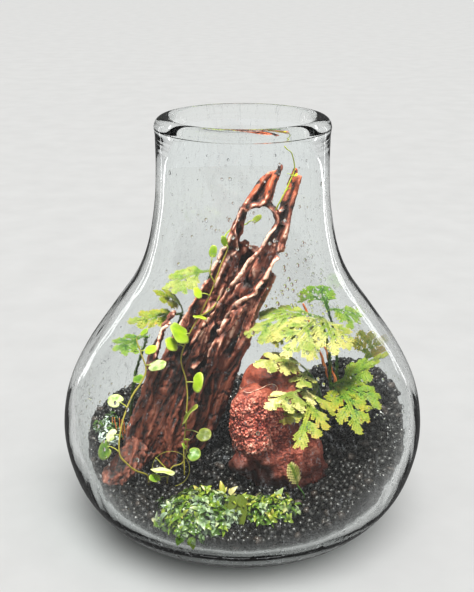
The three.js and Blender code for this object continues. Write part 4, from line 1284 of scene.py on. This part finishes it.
def round_leaf(parts, random, start, at, size, wide=1.0, face=LEAF_FACE, tone=0.5, pale=0.0, worn=0.0):
    """A cupped round leaf, a little wavy, on a short stalk from the stem; a worn one is dull and brownish"""
    at = np.array(at, float)
    reach = np.linalg.norm(at - start)
    along = (at - start) / reach
    normal = np.array(face, float)
    normal = unit(normal - along * np.dot(normal, along))
    sides, rings = 28, 6
    side = np.arange(sides)
    turn = turns(sides) - math.pi / 2
    notch = 1 - LEAF_NOTCH * np.exp(-((side - sides * (side > sides / 2)) / 1.4) ** 2)
    wave = 1 + 0.025 * np.sin(5 * turn + random.random() * 6)
    edge = np.stack([np.cos(turn) * wide, np.sin(turn)], 1) * (notch * wave)[:, None]
    flat = np.vstack([edge * (ring / rings) for ring in range(1, rings + 1)] + [[[0, 0]]])
    x, y = (flat * size).T
    ripple = 0.05 * size * np.sin(4 * np.arctan2(y, x) + 2 * random.random()) * np.hypot(*flat.T) ** 2
    dip = LEAF_CUP * (x * x + 0.4 * y * y) / size - ripple
    top = at + np.outer(x, np.cross(along, normal)) + np.outer(y, along)
    top += np.outer(LEAF_THICKNESS / 2 - dip, normal)
    bottom = top - normal * LEAF_THICKNESS
    count = len(top)
    numbers = np.arange(rings * sides).reshape(rings, sides)
    blade = np.vstack([cap_faces(rings * sides, side), grid_faces(numbers, True)[:, ::-1]])
    rim = grid_faces(np.stack([numbers[-1], numbers[-1] + count]), True)[:, ::-1]
    # Painted highlight: the rim of the leaf is lighter
    rim_highlight = np.append(np.repeat(np.arange(1, rings + 1) / rings, sides), 0) ** 5
    parts.add(np.vstack([top, bottom]), np.vstack([blade, blade[:, ::-1] + count, rim]),
              tone=tone, pale=pale, stem=worn, edge=np.tile(rim_highlight, 2), across=np.tile(flat[:, 0], 2),
              along=np.tile(flat[:, 1], 2))
    bow = (start + at - along * size * 0.6) / 2 + normal * 0.12 * reach
    stalk = smooth_line([start, bow, at - along * size * 0.62], 0.8)
    vine_tube(parts, stalk, [PETIOLE, PETIOLE * 0.75], 7, tone=tone + 0.1, pale=0.15, stem=0.35)


def place_leaf(parts, random, lines, at, *values, **settings):
    """The leaf stands off the nearest point of its stems"""
    centre = np.array(at, float)
    near = lines[np.argmin(np.linalg.norm(lines - centre, axis=1))]
    short = max(0, LEAF_STAND_OFF - np.linalg.norm(near - centre))
    centre += unit(settings.get("face", LEAF_FACE)) * short
    round_leaf(parts, random, near, centre, *values, **settings)


def make_vines():
    for number, (name, radius, root, stem, sides, leaves) in enumerate(VINES):
        random = np.random.default_rng(200 + number)
        parts = Parts()
        lines = [rooted_line(root, stem, 1.2)]
        vine_tube(parts, lines[0], [radius * 0.7, radius * 0.5], 9, tone=0.75, stem=0.85)
        for points in sides:
            lines.append(smooth_line(points, 1.0))
            vine_tube(parts, lines[-1], [radius * 0.55, radius * 0.4], tone=0.8, stem=0.6)
        for values, settings in leaves:
            place_leaf(parts, random, np.vstack(lines), *values, **settings)
        if name == "vine_over_wood":
            add_back_shoot(parts, random)
        if name == "runner_front":
            add_hair_ring(parts)
        parts.build(name + "_fine", VINE, [name])


def add_back_shoot(parts, random):
    """The vine's tip passes behind the wood, and its last leaf shows in the wood's hole"""
    line = smooth_line([(-9, -6, 180), (-11, 4, 184), (-6, 15, 187), (3, 18, 189)], 1.0)
    vine_tube(parts, line, [0.5, 0.35], 7, tone=0.7)
    round_leaf(parts, random, line[-1], (9, 16, 193), 3.8, 0.62, tone=0.35, worn=0.3)


def add_hair_ring(parts):
    """A hair-thin runner that arches over the foot of the wood"""
    turn = np.radians(np.linspace(-80, 235, 60))
    ring = np.stack([-44 + 11.5 * np.cos(turn), -45 + 2 * np.sin(turn), 48 + 11.5 * np.sin(turn)], 1)
    vine_tube(parts, ring, [0.2, 0.16], 5, tone=0.4, stem=0.7)


TENDRIL = [(20, 4, 197), (21, 1, 204), (24, 0, 212), (28, 3, 221), (31, 5, 229), (31, 4, 237),
           (29, 2, 244), (25, 1, 249)]


def make_tendril():
    random = np.random.default_rng(31)
    parts = Parts()
    line = smooth_line(TENDRIL, 0.9)
    vine_tube(parts, line, [0.5, 0.45, 0.3], tone=0.95, stem=0.3)
    for share, side in ((0.38, 1), (0.56, -1)):
        start = line[int(share * len(line))]
        end = start + np.array([side * 3.2, -1, 2.4])
        shoot = smooth_line([start, (start + end) / 2 + [0, 0, 0.8], end], 0.6)
        vine_tube(parts, shoot, [0.35, 0.2], 6, tone=0.95)
    round_leaf(parts, random, start, start + [2.2, -1.2, 1.2], 1.3, 1.2, tone=0.9)
    parts.build("tendril_fine", VINE, ["tendril"])


# Dry stalks behind the hub, and thin upright ones beside the grey moss at the far left

DRY_STALKS = [
    ("dry_stalk_1", (63, 25), [(59, 23, 79), (40, 22, 133)]),
    ("dry_stalk_2", (68, 20), [(63, 19, 80), (49, 18, 118)]),
]
TUFT_STALKS = [(-85, -1, 49), (-83, -3, 50), (-81, 0, 48), (-79, -2, 49), (-77, -4, 50)]


def make_dry_stalks():
    for name, root, stem in DRY_STALKS:
        parts = Parts()
        line = rooted_line(root, stem)
        number = np.arange(len(line))
        line[:, 0] += 0.25 * np.sin(number * 0.9)
        tube(parts, line, 0.72 + 0.1 * np.sin(number * 0.55), 8)
        for share in (0.3, 0.55, 0.75, 0.9):
            start = line[int(share * (len(line) - 1))]
            end = start + np.array([-1.5 if share > 0.5 else 1.6, -1.2, 2.6])
            tube(parts, [start, (start + end) / 2, end], [0.28, 0.12], 5)
        parts.build(name + "_fine", DRY, [name])


def make_tuft_stalks():
    random = np.random.default_rng(71)
    parts = Parts()
    for x, y, z in TUFT_STALKS:
        lean = random.normal(0, 0.8, 2)
        line = [(x, y, gravel_height(x, y) - 1), (x + 0.3 * lean[0], y, z + 4),
                (x + lean[0], y + lean[1], z + 13)]
        tube(parts, smooth_line(line, 1.0), [0.42, 0.5, 0.25], 7)
    parts.build("tuft_stalks", DRY)


# Moss: name, seed, middle, half sizes, count of shoots, tone, painted highlight, leaf length, and larger
# leaves with their place, way, length, width and tone

CUSHIONS = [
    ("moss_cushion_left", 11, (-25, -77), (24, 21), 120, (0.18, 0.66), 0.34, 5.4, [
        spec((-20, -60, 40), (-0.7, 0.2, 0.7), 7, 3.4, 0.98, pale=0.3),
        spec((-12, -61, 40), (-0.2, 0.3, 0.9), 8, 3.6, 0.95),
        spec((-8, -60, 39), (0.6, 0.2, 0.7), 7, 3.2, 1.0, pale=0.2),
        spec((-26, -62, 41), (-0.5, 0.1, 0.8), 6, 3, 0.94),
        spec((-34, -96, 37), (-0.4, -0.3, -0.6), 8, 4.4, 0.5),
        spec((-29, -97, 36), (0.2, -0.2, -0.8), 8, 4.2, 0.62),
        spec((-23, -97, 37), (0.5, -0.2, -0.7), 7, 4, 0.45)]),
    ("moss_cushion_right", 47, (15, -76), (15, 11), 42, (0.28, 0.76), 0.24, 5.0, [
        spec((-4, -75, 47), (0.1, -0.68, -0.72), 22, 12, 0.55, curl=0.35, worn=0.8),
        spec((-1, -70, 43), (0.95, 0, 0.1), 9, 3, 0.75, curl=0.3),
        spec((20, -70, 42), (0.4, 0.1, 0.8), 8, 4, 0.7, pale=0.3)]),
    # The far-left moss is grey: its whitish tint is its own colour as well as painted highlight
    ("moss_far_left", 83, (-88, 2), (9, 13), 44, (0.16, 0.34), 1.0, 4.2, []),
]
SHOOT_LEAVES = 8
# How far out the shoots stand and the mound reaches, as shares of the half sizes, and its height
CUSHION_FILL = 0.86
MOUND_SHARE = 0.7
MOUND_HEIGHT = 5.5


def curled_leaves(parts, origin, along, normal, length, width, curl, **values):
    """Many small leaves that curl over along their length and cup across it"""
    rows = np.linspace(0, 1, 6)
    half = np.sin(math.pi * (0.1 + 0.9 * rows) ** 0.75)
    half[-1] = 0.12
    across = unit(np.cross(normal, along))
    normal = unit(np.cross(along, across))
    along, across, normal = along[:, None], across[:, None], normal[:, None]
    bend = curl[:, None] * rows
    radius = (length / curl)[:, None, None]
    sine, cosine = np.sin(bend)[..., None], np.cos(bend)[..., None]
    middle = origin[:, None] + radius * (sine * along - (1 - cosine) * normal)
    wide = (half * width[:, None])[..., None]
    side = wide / 2 * across
    raised = wide * 0.22 * (cosine * normal + sine * along)
    points = np.stack([middle - side + raised, middle, middle + side + raised], 2)
    count = len(origin)
    size = 3 * len(rows)
    faces = repeated(grid_faces(np.arange(size).reshape(-1, 3)), size, count)
    parts.add(points, faces, edge=np.tile(np.repeat(rows, 3), count), **values)


def add_shoot(parts, random, base, way, length, tone, pale, leaf):
    """A short moss shoot with a rosette of curled leaves"""
    tip = base + way * length
    tube(parts, [base, (base + tip) / 2, tip], [0.35, 0.2], 4, tone=tone[0])
    share = np.linspace(0.35, 1, SHOOT_LEAVES)
    turn = np.arange(SHOOT_LEAVES) * GOLDEN_ANGLE + random.random() * 6
    first = unit(np.cross(way, [0.2, 0.3, 1]))
    outwards = around(turn, first, np.cross(way, first))
    heading = unit(way * (0.25 + 0.75 * share[:, None]) + outwards * (1.0 - 0.35 * share[:, None]))
    size = leaf * (1.1 - 0.35 * share) * (0.75 + 0.5 * random.random(SHOOT_LEAVES))
    shade = tone[0] + (tone[1] - tone[0]) * share + random.normal(0, 0.07, SHOOT_LEAVES)
    curled_leaves(parts, base + np.outer(share * length, way), heading, unit(way + 0.2 * outwards), size,
                  size * (0.5 + 0.15 * random.random(SHOOT_LEAVES)), 1.0 + 1.3 * random.random(SHOOT_LEAVES),
                  tone=shade, pale=pale * (random.random() < 0.4))


def add_moss_leaf(parts, random, at, way, length, width, tone, pale=0.0, curl=0.7, worn=0.0):
    """A single larger leaf of the moss, with a shorter one at each side of its foot; a worn one is olive"""
    way = unit(way)
    foot = [at[0], at[1] + 1, gravel_height(at[0], at[1]) - 1]
    tube(parts, [foot, at], [0.5, 0.35], 5, tone=0.3)
    side = unit(np.cross(way, LEAF_FACE))
    for turn, share in ((0.0, 1.0), (0.7, 0.6), (-0.7, 0.55)):
        heading = unit(way * math.cos(turn) + side * math.sin(turn))
        curled_leaves(parts, np.array([at], float), heading[None], np.array([LEAF_FACE]),
                      np.array([length * share]), np.array([width * share]), np.array([curl]),
                      tone=tone + random.normal(0, 0.04), pale=pale, stem=worn)


def add_mound(parts, centre, half):
    """The matted middle of a cushion, which its shoots stand out of; it is near black as painted shade"""
    leans = np.arange(8) / 7 * math.pi * 0.6
    points, faces = lathe(np.stack([np.sin(leans), np.cos(leans)], 1), 28, ended=False)
    lump = 1 + 0.14 * noise_at(points * 2.2, centre[0])
    # Painted shade: a near-black tone
    parts.add(points * lump[:, None] * half + centre, faces[:, ::-1], tone=0.08)


def make_moss():
    for name, seed, (cx, cy), (across, deep), count, tone, pale, leaf, extras in CUSHIONS:
        random = np.random.default_rng(seed)
        parts = Parts()
        half = (across * MOUND_SHARE, deep * MOUND_SHARE, MOUND_HEIGHT)
        add_mound(parts, (cx, cy, gravel_height(cx, cy) + 1), half)
        for i in range(count):
            angle = GOLDEN_ANGLE * (i + 1)
            share = math.sqrt((i + 0.5) / count)
            x = cx + math.cos(angle) * across * CUSHION_FILL * share
            y = cy + math.sin(angle) * deep * CUSHION_FILL * share
            z = gravel_height(x, y) + 0.5 + 5 * (1 - share**2)
            lean = np.array([math.cos(angle) * share, math.sin(angle) * share, 0.9 - 0.25 * share])
            way = unit(lean + random.normal(0, 0.42, 3) * [1, 1, 0.4])
            length = 2.5 + 5 * random.random() ** 1.5 + 1.5 * (1 - share)
            if math.hypot(x + way[0] * length, y + way[1] * length) > inner_radius(z + 4) - 2:
                length *= 0.5
            shade = (tone[0] - 0.12 * random.random(), tone[1] + random.normal(0, 0.1))
            add_shoot(parts, random, np.array([x, y, z]), way, length, shade, pale, leaf)
        for values, settings in extras:
            add_moss_leaf(parts, random, *values, **settings)
        parts.build(name + "_shoots", MOSS, [name])


# Root hairs on the rock, as lines of pixels of the photograph
ROOT_HAIRS = [
    [(239, 386), (242, 391), (246, 394), (252, 393)],
    [(250, 393), (257, 391), (263, 389), (268, 386), (273, 385), (277, 387), (278, 390), (275, 392)],
]


def make_root_hairs():
    """Thin hairs that arch over the rock, with both ends on it"""
    surface = surface_tree(bpy.data.objects["rock_carved"].data)
    parts = Parts()
    for pixels in ROOT_HAIRS:
        line = np.array(seen_places(surface, pixels, 1.5))
        arch = np.sin(math.pi * np.linspace(0, 1, len(line)))
        line += np.outer(0.1 + 1.1 * arch, unit(LEAF_FACE))
        for _ in range(3):
            line[1:-1] = (line[:-2] + line[1:-1] + line[2:]) / 3
        tube(parts, line, [0.2, 0.27, 0.16], 6)
    parts.build("root_hairs", ROOT)


# Surroundings

def make_camera():
    data = bpy.data.cameras.new("camera")
    data.lens = FOCAL_PIXELS * SENSOR / IMAGE_HEIGHT
    data.sensor_width = SENSOR
    camera = linked("camera", data)
    camera.location = [v * MM for v in CAMERA_PLACE]
    camera.rotation_euler = (math.radians(90 - CAMERA_TILT), 0, 0)
    bpy.context.scene.camera = camera


def make_lamp(name, kind, place, aim, power, things, state="EXCLUDE", colour=(1, 1, 1), **settings):
    """A lamp that leaves some things out, or lights them alone"""
    data = bpy.data.lights.new(name, kind)
    data.energy = power
    data.color = colour
    for key, value in settings.items():
        setattr(data, key, value)
    lamp = linked(name, data)
    lamp.location = place
    lamp.rotation_euler = (Vector(aim) - Vector(place)).to_track_quat("-Z", "Y").to_euler()
    group = bpy.data.collections.new(name + "_linked")
    for thing in things:
        group.objects.link(thing)
    for entry in group.collection_objects:
        entry.light_linking.link_state = state
    lamp.light_linking.receiver_collection = group


def make_floor():
    sides = 96
    mesh = bpy.data.meshes.new("floor")
    points = around(turns(sides), np.array([FLOOR_RADIUS, 0, 0]), np.array([0, FLOOR_RADIUS, 0]))
    mesh.from_pydata(points, [], [tuple(range(sides))])
    floor = linked("floor", mesh)
    look = Look("pale_floor")
    grain = look.noise(look.place(), 0.02, 3)
    colour = look.ramp(grain, [(0.3, (0.7, 0.7, 0.69)), (0.7, (0.74, 0.74, 0.73))])
    mesh.materials.append(look.set(Base_Color=colour, Roughness=0.8))
    floor.visible_glossy = False
    return floor


def make_world():
    world = bpy.data.worlds.new("studio")
    world.use_nodes = True
    nodes = Nodes(world.node_tree)
    light = nodes.node("LightPath")

    def background(strength):
        return nodes.node("Background", Color=(0.98, 0.985, 0.98, 1), Strength=strength).outputs[0]

    surface = background(PALE_WORLD)
    for kind, strength in (("Is Reflection Ray", FAINT_WORLD), ("Is Diffuse Ray", SOFT_WORLD)):
        surface = nodes.blend(light.outputs[kind], surface, background(strength))
    nodes.feed(nodes.tree.nodes["World Output"], "Surface", surface)
    bpy.context.scene.world = world


def make_surroundings():
    make_world()
    floor = make_floor()
    inside = (0, 0, 0.09)
    left_out = [bpy.data.objects["jar"], floor]
    make_lamp("key", "AREA", (-0.08, -0.22, 1.0), inside, 22, left_out, colour=(1, 0.96, 0.9), shape="DISK",
              size=0.22)
    make_lamp("front", "AREA", (0.35, -0.9, 0.75), inside, 4, left_out, colour=(1, 0.97, 0.95), shape="DISK",
              size=0.6)
    make_lamp("floor_light", "SUN", (0.4, -0.5, 2), (0, 0, 0), 2.2, [floor], "INCLUDE", angle=1.0)
    for name, side in (("left_strip", -1), ("right_strip", 1)):
        make_lamp(name, "AREA", (side * 0.8, 0.72, 0.3), (0, 0, 0.16), 0.22, [floor], shape="RECTANGLE",
                  size=0.05, size_y=0.7)


scene = bpy.context.scene
scene.cycles.transparent_max_bounces = 24
scene.cycles.max_bounces = 14
scene.cycles.transmission_bounces = 12
scene.cycles.caustics_reflective = False
scene.cycles.caustics_refractive = False
scene.cycles.sample_clamp_indirect = 6
scene.view_settings.view_transform = "Standard"
scene.view_settings.look = "Medium High Contrast"

make_camera()
make_driftwood()
make_rock()
make_gravel()
make_spikemoss()
make_fern()
make_vines()
make_tendril()
make_dry_stalks()
make_tuft_stalks()
make_moss()
make_root_hairs()
make_jar()
make_drops()
make_surroundings()
